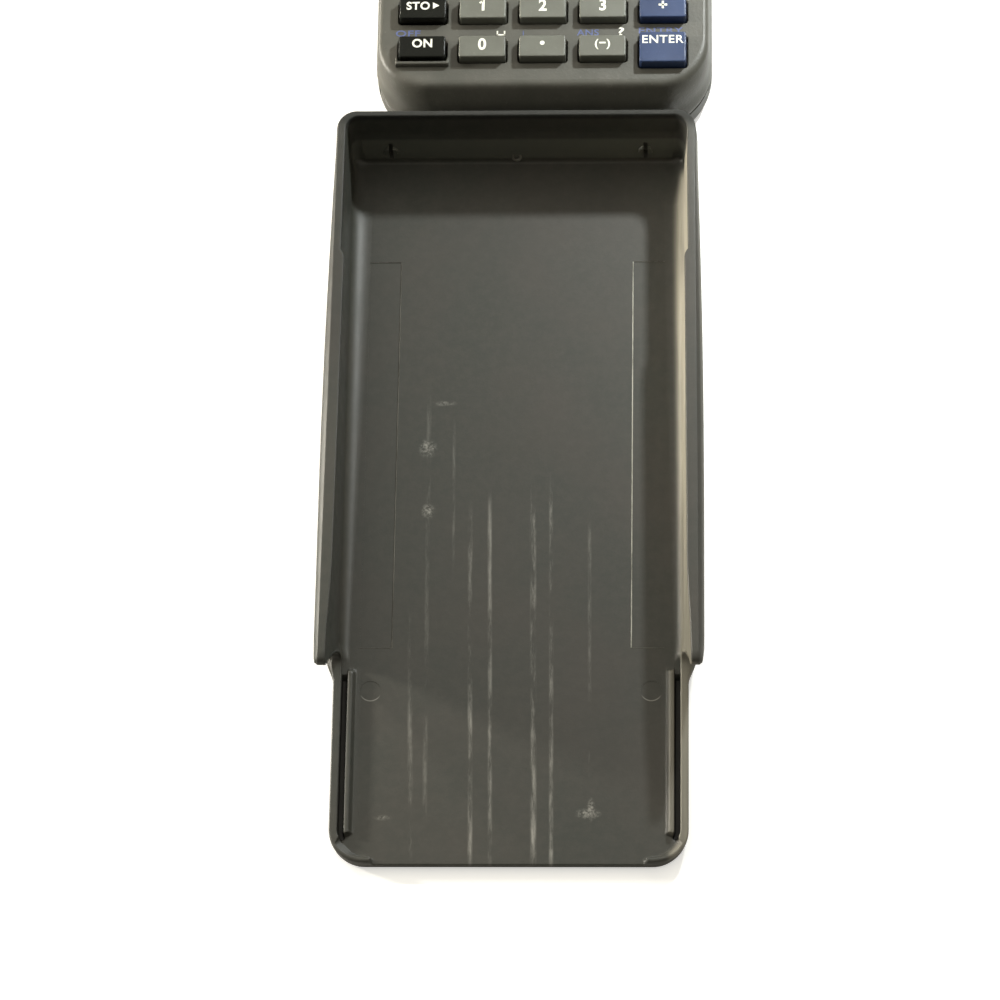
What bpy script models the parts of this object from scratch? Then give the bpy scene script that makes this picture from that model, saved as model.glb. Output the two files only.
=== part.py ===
"""Pocket graphing calculator with its slide-on cover, in metres, +Z up.

The calculator lies on its back, keys up. The cover lies in front of it, inside up, as a tray.
The origin is the middle of both, on the table.
"""

import math

import bmesh
import bpy
from mathutils import Matrix, Vector

# Fits shared by the whole part
FIT_GAP = 0.0003
CUT_OVERRUN = 0.003
UNION_OVERLAP = 0.0004

# Case
CASE_LENGTH = 0.1804
CASE_WIDTH = 0.080
CASE_HEIGHT = 0.021
FOOT_HEIGHT = 0.0006
FOOT_RADIUS = 0.0045
FOOT_INSET_X = 0.0120
FOOT_INSET_Y = 0.0100
CASE_WALL = 0.0020
BACK_WALL = 0.0018
FACE_WALL = 0.0020
PARTING_HEIGHT = 0.0070
CORNER_RADIUS = 0.0120
CORNER_STEPS = 5
SIDE_SLOPE_START = 0.0085
SIDE_SLOPE = 0.0013
CHIN_SLOPE = 0.0050
HEAD_SLOPE = 0.0026
FACE_EDGE_ROUND = 0.0014
BACK_EDGE_ROUND = 0.0024
RUNNER_HEIGHT = 0.0049
RUNNER_DEPTH = 0.0010

# Keyboard
KEY_PITCH_X = 0.0142
FIRST_ROW_Y = 0.0153
KEY_WIDTH = 0.0111
ARROW_STEP_X = 0.0102
SIDE_ARROW_WIDTH = 0.0060
KEY_PROUD = 0.0026
KEY_TAPER = 0.0001
KEY_TOP_ROUND = 0.0004
KEY_CORNER_CUT = 0.0005
KEY_SLIT = 0.0003
KEY_FLANGE_RIM = 0.0006
KEY_FLANGE_THICKNESS = 0.0008
KEY_TRAVEL = 0.0010
GUARD_THICKNESS = 0.0010
GUARD_HEIGHT = 0.0014

# Keyboard lengths as shares of the step from row to row
FUNCTION_ROW_STEP_SHARE = 1.0335
KEY_LENGTH_SHARE = 0.555
ENTER_LENGTH_SHARE = 0.708
LOW_KEY_LENGTH_SHARE = 0.4976
SIDE_ARROW_LENGTH_SHARE = 0.689
ARROW_STEP_SHARE = 0.7177
MAT_BOSS_LENGTH_SHARE = 0.3254

# Display
DISPLAY_ZONE_LENGTH = 0.0669
DISPLAY_ZONE_MARGIN = 0.0046
WINDOW_WIDTH = 0.0660
WINDOW_THICKNESS = 0.0010
WINDOW_CORNER_RADIUS = 0.0020
WINDOW_LEDGE = 0.0045
HEAD_MARGIN = 0.0092
LCD_FRAME_RIM = 0.0026
LCD_FRAME_THICKNESS = 0.0040
LCD_GLASS_THICKNESS = 0.0009

# Keypad mat and main board
MAT_THICKNESS = 0.0008
MAT_BOSS_HEIGHT = 0.0008
MAT_BOSS_WIDTH = 0.0050
MAT_BOSS_TAPER = 0.0006
BOARD_THICKNESS = 0.0016
BOARD_SIDE_MARGIN = 0.0045
KEYPAD_END_MARGIN = 0.0038
CHIP_HEIGHT = 0.0022
CHIP_SIZES = ((0.0200, 0.0140), (0.0180, 0.0090), (0.0140, 0.0090))
CHIP_PLACE_SHARES = ((0.25, 0.62), (-0.40, 0.70), (-0.40, 0.38))
JACK_WIDTH = 0.0070
JACK_LENGTH = 0.0100
JACK_DROP = 0.0054
JACK_BORE_RADIUS = 0.0013
JACK_BORE_DEPTH = 0.0080
JACK_WALL_HOLE_RADIUS = 0.0020

# Screw posts
POST_RADIUS = 0.0021
POST_BOSS_RADIUS = 0.0024
POST_SIDE_INSET = 0.0048
POST_CHIN_INSET_X = 0.0100
POST_CHIN_Y = 0.0076
POST_DISPLAY_OFFSET = 0.0024
POST_HEAD_INSET_Y = 0.0104
SCREW_HEAD_RADIUS = 0.0017
SCREW_HEAD_DEPTH = 0.0030
SCREW_SHANK_RADIUS = 0.0008

# Battery bay
CELL_RADIUS = 0.00525
CELL_LENGTH = 0.0445
CELL_NUB_RADIUS = 0.0019
CELL_NUB_LENGTH = 0.0008
CELL_COUNT = 4
CELL_PITCH = 0.0104
CELL_SPRING_ROOM = 0.0020
BAY_WALL = 0.0012
BAY_SHIFT_X = -0.00905
COIN_RADIUS = 0.0080
COIN_THICKNESS = 0.0016
COIN_WALL = 0.0012
DOOR_THICKNESS = 0.0015
DOOR_WIDTH = 0.0610
DOOR_TONGUE_WIDTH = 0.0010
DOOR_TONGUE_THICKNESS = 0.0007
DOOR_START_MARGIN = 0.0032

# Cover
COVER_LENGTH = 0.1820
COVER_WIDTH = 0.0830
COVER_DEPTH = 0.0207
COVER_FLOOR = 0.0020
COVER_CORNER_RADIUS = 0.0062
COVER_OPEN_CORNER_RADIUS = 0.0068
COVER_RIM_THICKNESS = 0.0015
WALL_RUN = 0.1404
WALL_FOOT_RUN = 0.1320
LOW_RIM_HEIGHT = 0.0034
LOW_RIM_WIDTH = 0.0018
LOW_RIM_GAP_WIDTH = 0.0600
LOW_RIM_FADE = 0.0040
LOW_INSET = 0.0012
WALL_BELLY = 0.0005
RIM_FLARE = 0.0010
SLOT_WIDTH = 0.0014
SLOT_FLOOR = 0.0007
RIB_WIDTH = 0.0015
RIB_START = 0.1350
RIB_END_MARGIN = 0.0055
LIP_START = 0.0370
LIP_FULL_END = 0.1230
LIP_DEPTH = 0.0008
LIP_HEIGHT = 0.0016
GRIP_PROUD = 0.0025
GRIP_START = 0.0080
GRIP_FULL = 0.1000
GRIP_STATIONS = 6
GRIP_END_MARGIN = 0.0008
GRIP_END_ROUND = 0.0030
GRIP_RIDGES = 6
GRIP_RIDGE_DEPTH = 0.0003
GRIP_EDGE_MARGIN = 0.0022
GRIP_ARCH_START = 0.12
WALL_END_SHARES = (
    (0.20, 0.00),
    (0.06, 0.02),
    (0.00, 0.08),
    (0.12, 0.28),
    (0.35, 0.50),
    (0.68, 0.70),
    (0.93, 0.84),
    (1.00, 0.91),
    (0.93, 0.97),
    (0.75, 1.00),
)
PANEL_START = 0.0306
PANEL_END = 0.1293
PANEL_INNER_HALF = 0.0275
PANEL_STEP = 0.0002
NOTCH_HALF_SPACING = 0.0302
NOTCH_WIDTH = 0.0009
NOTCH_DEPTH = 0.0007
NOTCH_HEIGHT = 0.0040

# How the calculator lies behind the cover
CASE_SHIFT_X = 0.0060
CASE_GAP_Y = 0.0003

# Worked out: heights in the calculator, from the table up
BACK_Z = FOOT_HEIGHT
FLOOR_Z = BACK_Z + BACK_WALL
FACE_INNER_Z = CASE_HEIGHT - FACE_WALL
FLANGE_TOP_Z = FACE_INNER_Z - FIT_GAP
FLANGE_LOW_Z = FLANGE_TOP_Z - KEY_FLANGE_THICKNESS
BOSS_TOP_Z = FLANGE_LOW_Z - KEY_TRAVEL - FIT_GAP
MAT_TOP_Z = BOSS_TOP_Z - MAT_BOSS_HEIGHT
MAT_LOW_Z = MAT_TOP_Z - MAT_THICKNESS
BOARD_TOP_Z = MAT_LOW_Z - FIT_GAP
BOARD_LOW_Z = BOARD_TOP_Z - BOARD_THICKNESS
DOOR_INNER_Z = BACK_Z + DOOR_THICKNESS
BAY_FLOOR_Z = DOOR_INNER_Z + FIT_GAP
CELL_AXIS_Z = BAY_FLOOR_Z + CELL_RADIUS
BAY_ROOF_Z = CELL_AXIS_Z + CELL_RADIUS + FIT_GAP
BAY_TOP_Z = BAY_ROOF_Z + BAY_WALL
COIN_ROOF_Z = BAY_FLOOR_Z + COIN_THICKNESS + FIT_GAP
LCD_TOP_Z = FACE_INNER_Z - FIT_GAP
LCD_LOW_Z = LCD_TOP_Z - LCD_FRAME_THICKNESS
WINDOW_POCKET_Z = CASE_HEIGHT - WINDOW_THICKNESS - FIT_GAP
JACK_AXIS_Z = BOARD_LOW_Z - JACK_DROP / 2

# Worked out: places along the calculator, from its bottom end
CASE_HALF = CASE_WIDTH / 2
KEYPAD_START = FIRST_ROW_Y - KEYPAD_END_MARGIN
KEYPAD_END = CASE_LENGTH - DISPLAY_ZONE_LENGTH
FUNCTION_ROW_Y = KEYPAD_END - KEYPAD_END_MARGIN
KEY_PITCH_Y = (FUNCTION_ROW_Y - FIRST_ROW_Y) / (8 + FUNCTION_ROW_STEP_SHARE)
LAST_ROW_Y = FIRST_ROW_Y + 8 * KEY_PITCH_Y
KEY_LENGTH = KEY_PITCH_Y * KEY_LENGTH_SHARE
ENTER_KEY_LENGTH = KEY_PITCH_Y * ENTER_LENGTH_SHARE
LOW_KEY_LENGTH = KEY_PITCH_Y * LOW_KEY_LENGTH_SHARE
SIDE_ARROW_LENGTH = KEY_PITCH_Y * SIDE_ARROW_LENGTH_SHARE
ARROW_STEP_Y = KEY_PITCH_Y * ARROW_STEP_SHARE
MAT_BOSS_LENGTH = KEY_PITCH_Y * MAT_BOSS_LENGTH_SHARE
WINDOW_START = KEYPAD_END + 2 * DISPLAY_ZONE_MARGIN
WINDOW_END = CASE_LENGTH - HEAD_MARGIN
LCD_START = WINDOW_START - LCD_FRAME_RIM
LCD_END = WINDOW_END + LCD_FRAME_RIM
DOOR_START = WINDOW_START - DOOR_START_MARGIN
BAY_END = CASE_LENGTH - CASE_WALL - 2 * FIT_GAP - DOOR_START_MARGIN
BAY_START = BAY_END - CELL_LENGTH - CELL_NUB_LENGTH - CELL_SPRING_ROOM

# Worked out: where the two halves lie
GRIP_HALF = COVER_WIDTH / 2 + GRIP_PROUD
COVER_X = (GRIP_HALF - CASE_SHIFT_X - CASE_HALF) / 2
COVER_Y = (COVER_LENGTH - CASE_GAP_Y - CASE_LENGTH) / 2
CASE_X = COVER_X + CASE_SHIFT_X
CASE_Y = COVER_Y + CASE_GAP_Y


def clear_scene():
    for old in list(bpy.data.objects):
        bpy.data.objects.remove(old)


def finish_material(name, colour, roughness, metallic=0.0, alpha=1.0):
    material = bpy.data.materials.new(name)
    material.use_nodes = True
    shader = material.node_tree.nodes["Principled BSDF"]
    shader.inputs["Base Color"].default_value = (*colour, 1.0)
    shader.inputs["Roughness"].default_value = roughness
    shader.inputs["Metallic"].default_value = metallic
    shader.inputs["Alpha"].default_value = alpha
    return material


def add_object(name, bm, material=None, parent=None, place=(0, 0, 0)):
    mesh = bpy.data.meshes.new(name)
    bmesh.ops.recalc_face_normals(bm, faces=bm.faces)
    bm.to_mesh(mesh)
    bm.free()
    if material:
        mesh.materials.append(material)
    return place_mesh(name, mesh, parent, place)


def place_mesh(name, mesh, parent=None, place=(0, 0, 0)):
    piece = bpy.data.objects.new(name, mesh)
    bpy.context.collection.objects.link(piece)
    piece.parent = parent
    piece.location = place
    return piece


def add_frame(name, place):
    frame = bpy.data.objects.new(name, None)
    bpy.context.collection.objects.link(frame)
    frame.location = place
    return frame


def boolean(piece, operation, name, bm):
    """Cuts the solid out of the piece, or joins it on, with a hidden tool body."""
    tool = add_object(f"{piece.name}_{name}", bm, parent=piece)
    tool.hide_render = True
    tool.display_type = "WIRE"
    modifier = piece.modifiers.new(name, "BOOLEAN")
    modifier.object = tool
    modifier.operation = operation
    modifier.solver = "EXACT"


def cut(piece, name, bm):
    boolean(piece, "DIFFERENCE", name, bm)


def join(piece, name, bm):
    boolean(piece, "UNION", name, bm)


def shade_round(piece, angle):
    piece.data.shade_smooth()
    piece.data.set_sharp_from_angle(angle=angle)


def loft(rings):
    """A closed solid through rings of points, extruded ring by ring."""
    bm = bmesh.new()
    first = bm.faces.new([bm.verts.new(point) for point in rings[0]])
    face = first
    for ring in rings[1:]:
        grown = bmesh.ops.extrude_face_region(bm, geom=[face])["geom"]
        if face is not first:
            bm.faces.remove(face)
        face = next(item for item in grown if isinstance(item, bmesh.types.BMFace))
        for vert, point in zip(face.verts, ring):
            vert.co = point
    return bm


def block(low, high):
    """A box between two corners."""
    middle = [(a + b) / 2 for a, b in zip(low, high)]
    size = [b - a for a, b in zip(low, high)]
    bm = bmesh.new()
    bmesh.ops.create_cube(bm, size=1, matrix=Matrix.Translation(middle) @ Matrix.Diagonal((*size, 1)))
    return bm


def rod(start, end, radius, sides):
    """A round bar from start to end."""
    start, end = Vector(start), Vector(end)
    turn = (end - start).to_track_quat("Z", "Y").to_matrix().to_4x4()
    bm = bmesh.new()
    bmesh.ops.create_cone(
        bm,
        cap_ends=True,
        segments=sides,
        radius1=radius,
        radius2=radius,
        depth=(end - start).length,
        matrix=Matrix.Translation((start + end) / 2) @ turn,
    )
    return bm


def merged(solids):
    """One mesh from several solids that don't touch."""
    bm = bmesh.new()
    for solid in solids:
        mesh = bpy.data.meshes.new("merged")
        solid.to_mesh(mesh)
        solid.free()
        bm.from_mesh(mesh)
        bpy.data.meshes.remove(mesh)
    return bm


def rounded_outline(half_width, y_low, y_high, low_radius, high_radius, steps, z):
    """A rectangle in plan with rounded corners, as points at height z."""
    corners = (
        (half_width, y_low, low_radius, -90),
        (half_width, y_high, high_radius, 0),
        (-half_width, y_high, high_radius, 90),
        (-half_width, y_low, low_radius, 180),
    )
    points = []
    for x, y, radius, start in corners:
        centre_x = x - math.copysign(radius, x)
        centre_y = y + radius if y == y_low else y - radius
        for step in range(steps):
            angle = math.radians(start + 90 * step / (steps - 1))
            points.append((centre_x + radius * math.cos(angle), centre_y + radius * math.sin(angle), z))
    return points


def clipped_rectangle(width, length, clip, z):
    """A rectangle about the origin with its corners cut off, at height z."""
    x, y = width / 2, length / 2
    return [
        (x - clip, -y, z),
        (x, -y + clip, z),
        (x, y - clip, z),
        (x - clip, y, z),
        (-x + clip, y, z),
        (-x, y - clip, z),
        (-x, -y + clip, z),
        (-x + clip, -y, z),
    ]


def case_ring(z, side_inset, chin_inset, head_inset):
    """The case's outline in plan at height z, drawn in from its widest outline."""
    radius = CORNER_RADIUS - max(side_inset, chin_inset) / 2
    return rounded_outline(
        CASE_HALF - side_inset,
        chin_inset,
        CASE_LENGTH - head_inset,
        radius,
        radius,
        CORNER_STEPS,
        z,
    )


def front_shell_rings():
    """The upper half from the parting line to the face: upright, sloped, then rounded over."""
    sloped_z = CASE_HEIGHT - FACE_EDGE_ROUND
    rings = [
        case_ring(PARTING_HEIGHT + FIT_GAP, 0, 0, 0),
        case_ring(SIDE_SLOPE_START, 0, 0, 0),
        case_ring(sloped_z, SIDE_SLOPE, CHIN_SLOPE, HEAD_SLOPE),
    ]
    for turn in (45, 90):
        angle = math.radians(turn)
        inward = FACE_EDGE_ROUND * (1 - math.cos(angle))
        upward = FACE_EDGE_ROUND * math.sin(angle)
        rings.append(case_ring(sloped_z + upward, SIDE_SLOPE + inward, CHIN_SLOPE + inward, HEAD_SLOPE + inward))
    return rings


def back_shell_rings():
    """The lower half from the back to the parting line, its lower edge rounded."""
    rings = []
    for turn in (0, 45, 90):
        angle = math.radians(turn)
        inward = BACK_EDGE_ROUND * (1 - math.sin(angle))
        upward = BACK_EDGE_ROUND * (1 - math.cos(angle))
        rings.append(case_ring(BACK_Z + upward, inward, inward, inward))
    rings.append(case_ring(PARTING_HEIGHT, 0, 0, 0))
    return rings


def post_places():
    """The six screw posts: two at the chin, two above the keys and two at the head."""
    side_x = CASE_HALF - POST_SIDE_INSET
    rows = (
        (CASE_HALF - POST_CHIN_INSET_X, POST_CHIN_Y),
        (side_x, KEYPAD_END + POST_DISPLAY_OFFSET),
        (side_x, CASE_LENGTH - POST_HEAD_INSET_Y),
    )
    return [(side * x, y) for x, y in rows for side in (-1, 1)]


def key_plan():
    """Every key as name, centre x and y, width, length and finish."""
    names = (
        ("on", "zero", "point", "negate", "enter"),
        ("store", "one", "two", "three", "add"),
        ("ln", "four", "five", "six", "subtract"),
        ("log", "seven", "eight", "nine", "multiply"),
        ("square", "comma", "bracket_open", "bracket_close", "divide"),
        ("inverse", "sine", "cosine", "tangent", "power"),
        ("math", "list", "program", "variables", "clear"),
        ("alpha", "graph_variable", "statistics"),
        ("second", "mode", "delete"),
    )
    pale = {"zero", "point", "negate", "one", "two", "three", "four", "five", "six", "seven", "eight", "nine"}
    blue = {"enter", "add", "subtract", "multiply", "divide", "second"}
    plan = []
    for row, row_names in enumerate(names):
        for column, name in enumerate(row_names):
            finish = "pale" if name in pale else "blue" if name in blue else "dark"
            x = (column - 2) * KEY_PITCH_X
            y = FIRST_ROW_Y + row * KEY_PITCH_Y
            length = KEY_LENGTH
            if name == "enter":
                length = ENTER_KEY_LENGTH
                y -= (ENTER_KEY_LENGTH - KEY_LENGTH) / 2
            plan.append((f"key_{name}", x, y, KEY_WIDTH, length, finish))
    for column in range(5):
        x = (column - 2) * KEY_PITCH_X
        plan.append((f"key_function_{column + 1}", x, FUNCTION_ROW_Y, KEY_WIDTH, LOW_KEY_LENGTH, "dark"))
    middle_x = 1.5 * KEY_PITCH_X
    middle_y = LAST_ROW_Y - KEY_PITCH_Y / 2
    arrows = (
        ("up", 0, ARROW_STEP_Y, KEY_WIDTH, LOW_KEY_LENGTH),
        ("down", 0, -ARROW_STEP_Y, KEY_WIDTH, LOW_KEY_LENGTH),
        ("left", -ARROW_STEP_X, 0, SIDE_ARROW_WIDTH, SIDE_ARROW_LENGTH),
        ("right", ARROW_STEP_X, 0, SIDE_ARROW_WIDTH, SIDE_ARROW_LENGTH),
    )
    for name, x, y, width, length in arrows:
        plan.append((f"key_{name}", middle_x + x, middle_y + y, width, length, "dark"))
    return plan


def key_body(width, length):
    """A key about its own centre, its height counted from the face it stands out of."""
    rim = 2 * KEY_FLANGE_RIM
    taper = 2 * KEY_TAPER
    crown = taper + 2 * KEY_TOP_ROUND
    top = KEY_PROUD
    shoulder = KEY_PROUD - KEY_TOP_ROUND
    flange_low = FLANGE_LOW_Z - CASE_HEIGHT
    flange_top = FLANGE_TOP_Z - CASE_HEIGHT
    return loft(
        [
            clipped_rectangle(width + rim, length + rim, KEY_CORNER_CUT, flange_low),
            clipped_rectangle(width + rim, length + rim, KEY_CORNER_CUT, flange_top),
            clipped_rectangle(width, length, KEY_CORNER_CUT, flange_top),
            clipped_rectangle(width - taper, length - taper, KEY_CORNER_CUT, shoulder),
            clipped_rectangle(width - crown, length - crown, KEY_CORNER_CUT, top),
        ]
    )


def make_keys(parent, finishes):
    """One object for each key, its origin at its centre on the face, which its travel starts from."""
    meshes = {}
    for name, x, y, width, length, finish in key_plan():
        kind = (width, length, finish)
        if kind not in meshes:
            first = add_object(name, key_body(width, length), finishes[finish], parent, (x, y, CASE_HEIGHT))
            meshes[kind] = first.data
        else:
            place_mesh(name, meshes[kind], parent, (x, y, CASE_HEIGHT))


def key_holes():
    """The slots in the face that the keys stand in."""
    holes = []
    low = FACE_INNER_Z - CUT_OVERRUN
    high = CASE_HEIGHT + CUT_OVERRUN
    for _name, x, y, width, length, _finish in key_plan():
        half_x = width / 2 + KEY_SLIT
        half_y = length / 2 + KEY_SLIT
        holes.append(block((x - half_x, y - half_y, low), (x + half_x, y + half_y, high)))
    return merged(holes)


def on_key_guard():
    """The low wall that stands below the on key."""
    name, x, y, width, length, _finish = key_plan()[0]
    half_x = width / 2 + KEY_SLIT
    low_y = y - length / 2 - KEY_SLIT
    return block(
        (x - half_x, low_y - GUARD_THICKNESS, CASE_HEIGHT - FACE_WALL / 2),
        (x + half_x, low_y + UNION_OVERLAP, CASE_HEIGHT + GUARD_HEIGHT),
    )


def make_front_shell(parent, material):
    shell = add_object("front_shell", loft(front_shell_rings()), material, parent)
    slope_share = (FACE_INNER_Z - SIDE_SLOPE_START) / (CASE_HEIGHT - FACE_EDGE_ROUND - SIDE_SLOPE_START)
    low_z = PARTING_HEIGHT - CUT_OVERRUN
    radius = CORNER_RADIUS - CASE_WALL
    cavity = [
        rounded_outline(CASE_HALF - CASE_WALL, CASE_WALL, CASE_LENGTH - CASE_WALL, radius, radius, CORNER_STEPS, z)
        for z in (low_z, SIDE_SLOPE_START)
    ]
    top_radius = radius - CHIN_SLOPE / 2
    cavity.append(
        rounded_outline(
            CASE_HALF - CASE_WALL - SIDE_SLOPE * slope_share,
            CASE_WALL + CHIN_SLOPE * slope_share,
            CASE_LENGTH - CASE_WALL - HEAD_SLOPE * slope_share,
            top_radius,
            top_radius,
            CORNER_STEPS,
            FACE_INNER_Z,
        )
    )
    cut(shell, "hollow", loft(cavity))
    for number, (x, y) in enumerate(post_places()):
        post = rod((x, y, PARTING_HEIGHT + FIT_GAP), (x, y, CASE_HEIGHT - FACE_WALL / 2), POST_RADIUS, 10)
        join(shell, f"post_{number + 1}", post)
    join(shell, "on_guard", on_key_guard())
    cut(shell, "key_holes", key_holes())
    half = WINDOW_WIDTH / 2 + FIT_GAP
    radius = WINDOW_CORNER_RADIUS + FIT_GAP
    pocket = [
        rounded_outline(half, WINDOW_START - FIT_GAP, WINDOW_END + FIT_GAP, radius, radius, 3, z)
        for z in (WINDOW_POCKET_Z, CASE_HEIGHT + CUT_OVERRUN)
    ]
    cut(shell, "window_pocket", loft(pocket))
    opening = block(
        (-WINDOW_WIDTH / 2 + WINDOW_LEDGE, WINDOW_START + WINDOW_LEDGE, FACE_INNER_Z - CUT_OVERRUN),
        (WINDOW_WIDTH / 2 - WINDOW_LEDGE, WINDOW_END - WINDOW_LEDGE, CASE_HEIGHT + CUT_OVERRUN),
    )
    cut(shell, "display_opening", opening)
    jack_hole = rod((0, -CUT_OVERRUN, JACK_AXIS_Z), (0, CHIN_SLOPE + CASE_WALL, JACK_AXIS_Z), JACK_WALL_HOLE_RADIUS, 12)
    cut(shell, "jack_hole", jack_hole)
    return shell


def door_profile(grow, y_start, y_end):
    """The battery door's section, a plate with a tongue along each side, run along the case."""
    half = DOOR_WIDTH / 2 + grow
    tongue_half = half + DOOR_TONGUE_WIDTH
    top = DOOR_INNER_Z + grow
    tongue_low = DOOR_INNER_Z - DOOR_TONGUE_THICKNESS - grow
    low = BACK_Z - CUT_OVERRUN
    section = (
        (-half, low),
        (half, low),
        (half, tongue_low),
        (tongue_half, tongue_low),
        (tongue_half, top),
        (-tongue_half, top),
        (-tongue_half, tongue_low),
        (-half, tongue_low),
    )
    return loft([[(x, y, z) for x, z in section] for y in (y_start, y_end)])


def bay_limits(grow):
    """The cells' room in plan, as low and high x."""
    half = (CELL_COUNT - 1) * CELL_PITCH / 2 + CELL_RADIUS + FIT_GAP + grow
    return BAY_SHIFT_X - half, BAY_SHIFT_X + half


def coin_place():
    """The backup cell's centre, beside the cells' room."""
    _low, high = bay_limits(BAY_WALL)
    return high + COIN_RADIUS + FIT_GAP, DOOR_START + DOOR_START_MARGIN + COIN_RADIUS


def make_rear_shell(parent, material):
    shell = add_object("rear_shell", loft(back_shell_rings()), material, parent)
    inner_half = CASE_HALF - RUNNER_DEPTH - CASE_WALL
    radius = CORNER_RADIUS - CASE_WALL
    hollow = [
        rounded_outline(inner_half, CASE_WALL, CASE_LENGTH - CASE_WALL, radius, radius, CORNER_STEPS, z)
        for z in (FLOOR_Z, PARTING_HEIGHT + CUT_OVERRUN)
    ]
    cut(shell, "hollow", loft(hollow))
    for side, name in ((-1, "left"), (1, "right")):
        ends = sorted((side * (CASE_HALF - RUNNER_DEPTH), side * (CASE_HALF + CUT_OVERRUN)))
        runner = block(
            (ends[0], -CUT_OVERRUN, RUNNER_HEIGHT),
            (ends[1], CASE_LENGTH + CUT_OVERRUN, PARTING_HEIGHT + CUT_OVERRUN),
        )
        cut(shell, f"{name}_runner", runner)
    for number, (x, y) in enumerate(post_places()):
        boss = rod((x, y, BACK_Z + BACK_WALL / 2), (x, y, PARTING_HEIGHT), POST_BOSS_RADIUS, 10)
        join(shell, f"boss_{number + 1}", boss)
    bed_half = DOOR_WIDTH / 2 + DOOR_TONGUE_WIDTH + FIT_GAP + BAY_WALL
    bed = block(
        (-bed_half, DOOR_START - FIT_GAP - BAY_WALL, BACK_Z + BACK_WALL / 2),
        (bed_half, CASE_LENGTH - CASE_WALL / 2, BAY_FLOOR_Z + BAY_WALL),
    )
    join(shell, "door_bed", bed)
    low_x, high_x = bay_limits(BAY_WALL)
    bay = block(
        (low_x, BAY_START - BAY_WALL, BAY_FLOOR_Z + BAY_WALL / 2),
        (high_x, BAY_END + BAY_WALL, BAY_TOP_Z),
    )
    join(shell, "bay", bay)
    coin_x, coin_y = coin_place()
    coin_cup = rod(
        (coin_x, coin_y, BAY_FLOOR_Z + BAY_WALL / 2),
        (coin_x, coin_y, COIN_ROOF_Z + COIN_WALL),
        COIN_RADIUS + FIT_GAP + COIN_WALL / 2,
        16,
    )
    join(shell, "coin_cup", coin_cup)
    cut(shell, "door_bed_room", door_profile(FIT_GAP, DOOR_START - FIT_GAP, CASE_LENGTH + CUT_OVERRUN))
    low_x, high_x = bay_limits(0)
    cut(shell, "cell_room", block((low_x, BAY_START, BACK_Z), (high_x, BAY_END, BAY_ROOF_Z)))
    coin_room = rod((coin_x, coin_y, BACK_Z), (coin_x, coin_y, COIN_ROOF_Z), COIN_RADIUS + FIT_GAP, 16)
    cut(shell, "coin_room", coin_room)
    for number, (x, y) in enumerate(post_places()):
        head_top = BACK_Z + SCREW_HEAD_DEPTH
        head = rod((x, y, BACK_Z - CUT_OVERRUN), (x, y, head_top), SCREW_HEAD_RADIUS, 10)
        cut(shell, f"screw_head_{number + 1}", head)
        shank = rod((x, y, head_top - UNION_OVERLAP), (x, y, PARTING_HEIGHT + CUT_OVERRUN), SCREW_SHANK_RADIUS, 8)
        cut(shell, f"screw_shank_{number + 1}", shank)
    feet = [(side * (CASE_HALF - FOOT_INSET_X), y) for side in (-1, 1) for y in foot_rows()]
    for number, (x, y) in enumerate(feet):
        join(shell, f"foot_{number + 1}", rod((x, y, 0), (x, y, BACK_Z + BACK_WALL / 2), FOOT_RADIUS, 16))
    return shell


def foot_rows():
    """The feet's places along the case: near the chin, and just short of the battery door."""
    return FOOT_INSET_Y + POST_CHIN_Y, DOOR_START - FOOT_INSET_Y


def make_battery_door(parent, material):
    """The door is the part of the back that lies inside its own section, up to the head end."""
    door = add_object("battery_door", loft(back_shell_rings()), material, parent)
    boolean(door, "INTERSECT", "section", door_profile(0, DOOR_START, CASE_LENGTH + CUT_OVERRUN))
    return door


def make_cells(parent, material):
    """Four cells side by side, every second one turned end for end, joined where they touch."""
    start = BAY_END - CELL_LENGTH - CELL_NUB_LENGTH - FIT_GAP
    end = start + CELL_LENGTH
    first_x = BAY_SHIFT_X - (CELL_COUNT - 1) * CELL_PITCH / 2
    cells = None
    for number in range(CELL_COUNT):
        x = first_x + number * CELL_PITCH
        can = rod((x, start, CELL_AXIS_Z), (x, end, CELL_AXIS_Z), CELL_RADIUS, 16)
        if cells is None:
            cells = add_object("battery_cells", can, material, parent)
        else:
            join(cells, f"can_{number + 1}", can)
        if number % 2:
            nub = rod((x, end - UNION_OVERLAP, CELL_AXIS_Z), (x, end + CELL_NUB_LENGTH, CELL_AXIS_Z), CELL_NUB_RADIUS, 8)
        else:
            nub = rod((x, start - CELL_NUB_LENGTH, CELL_AXIS_Z), (x, start + UNION_OVERLAP, CELL_AXIS_Z), CELL_NUB_RADIUS, 8)
        join(cells, f"nub_{number + 1}", nub)
    return cells


def make_backup_cell(parent, material):
    x, y = coin_place()
    coin = rod((x, y, BAY_FLOOR_Z), (x, y, BAY_FLOOR_Z + COIN_THICKNESS), COIN_RADIUS, 16)
    return add_object("backup_cell", coin, material, parent)


def make_window(parent, material):
    rings = [
        rounded_outline(
            WINDOW_WIDTH / 2, WINDOW_START, WINDOW_END, WINDOW_CORNER_RADIUS, WINDOW_CORNER_RADIUS, 3, z
        )
        for z in (CASE_HEIGHT - WINDOW_THICKNESS, CASE_HEIGHT)
    ]
    return add_object("display_window", loft(rings), material, parent)


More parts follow.
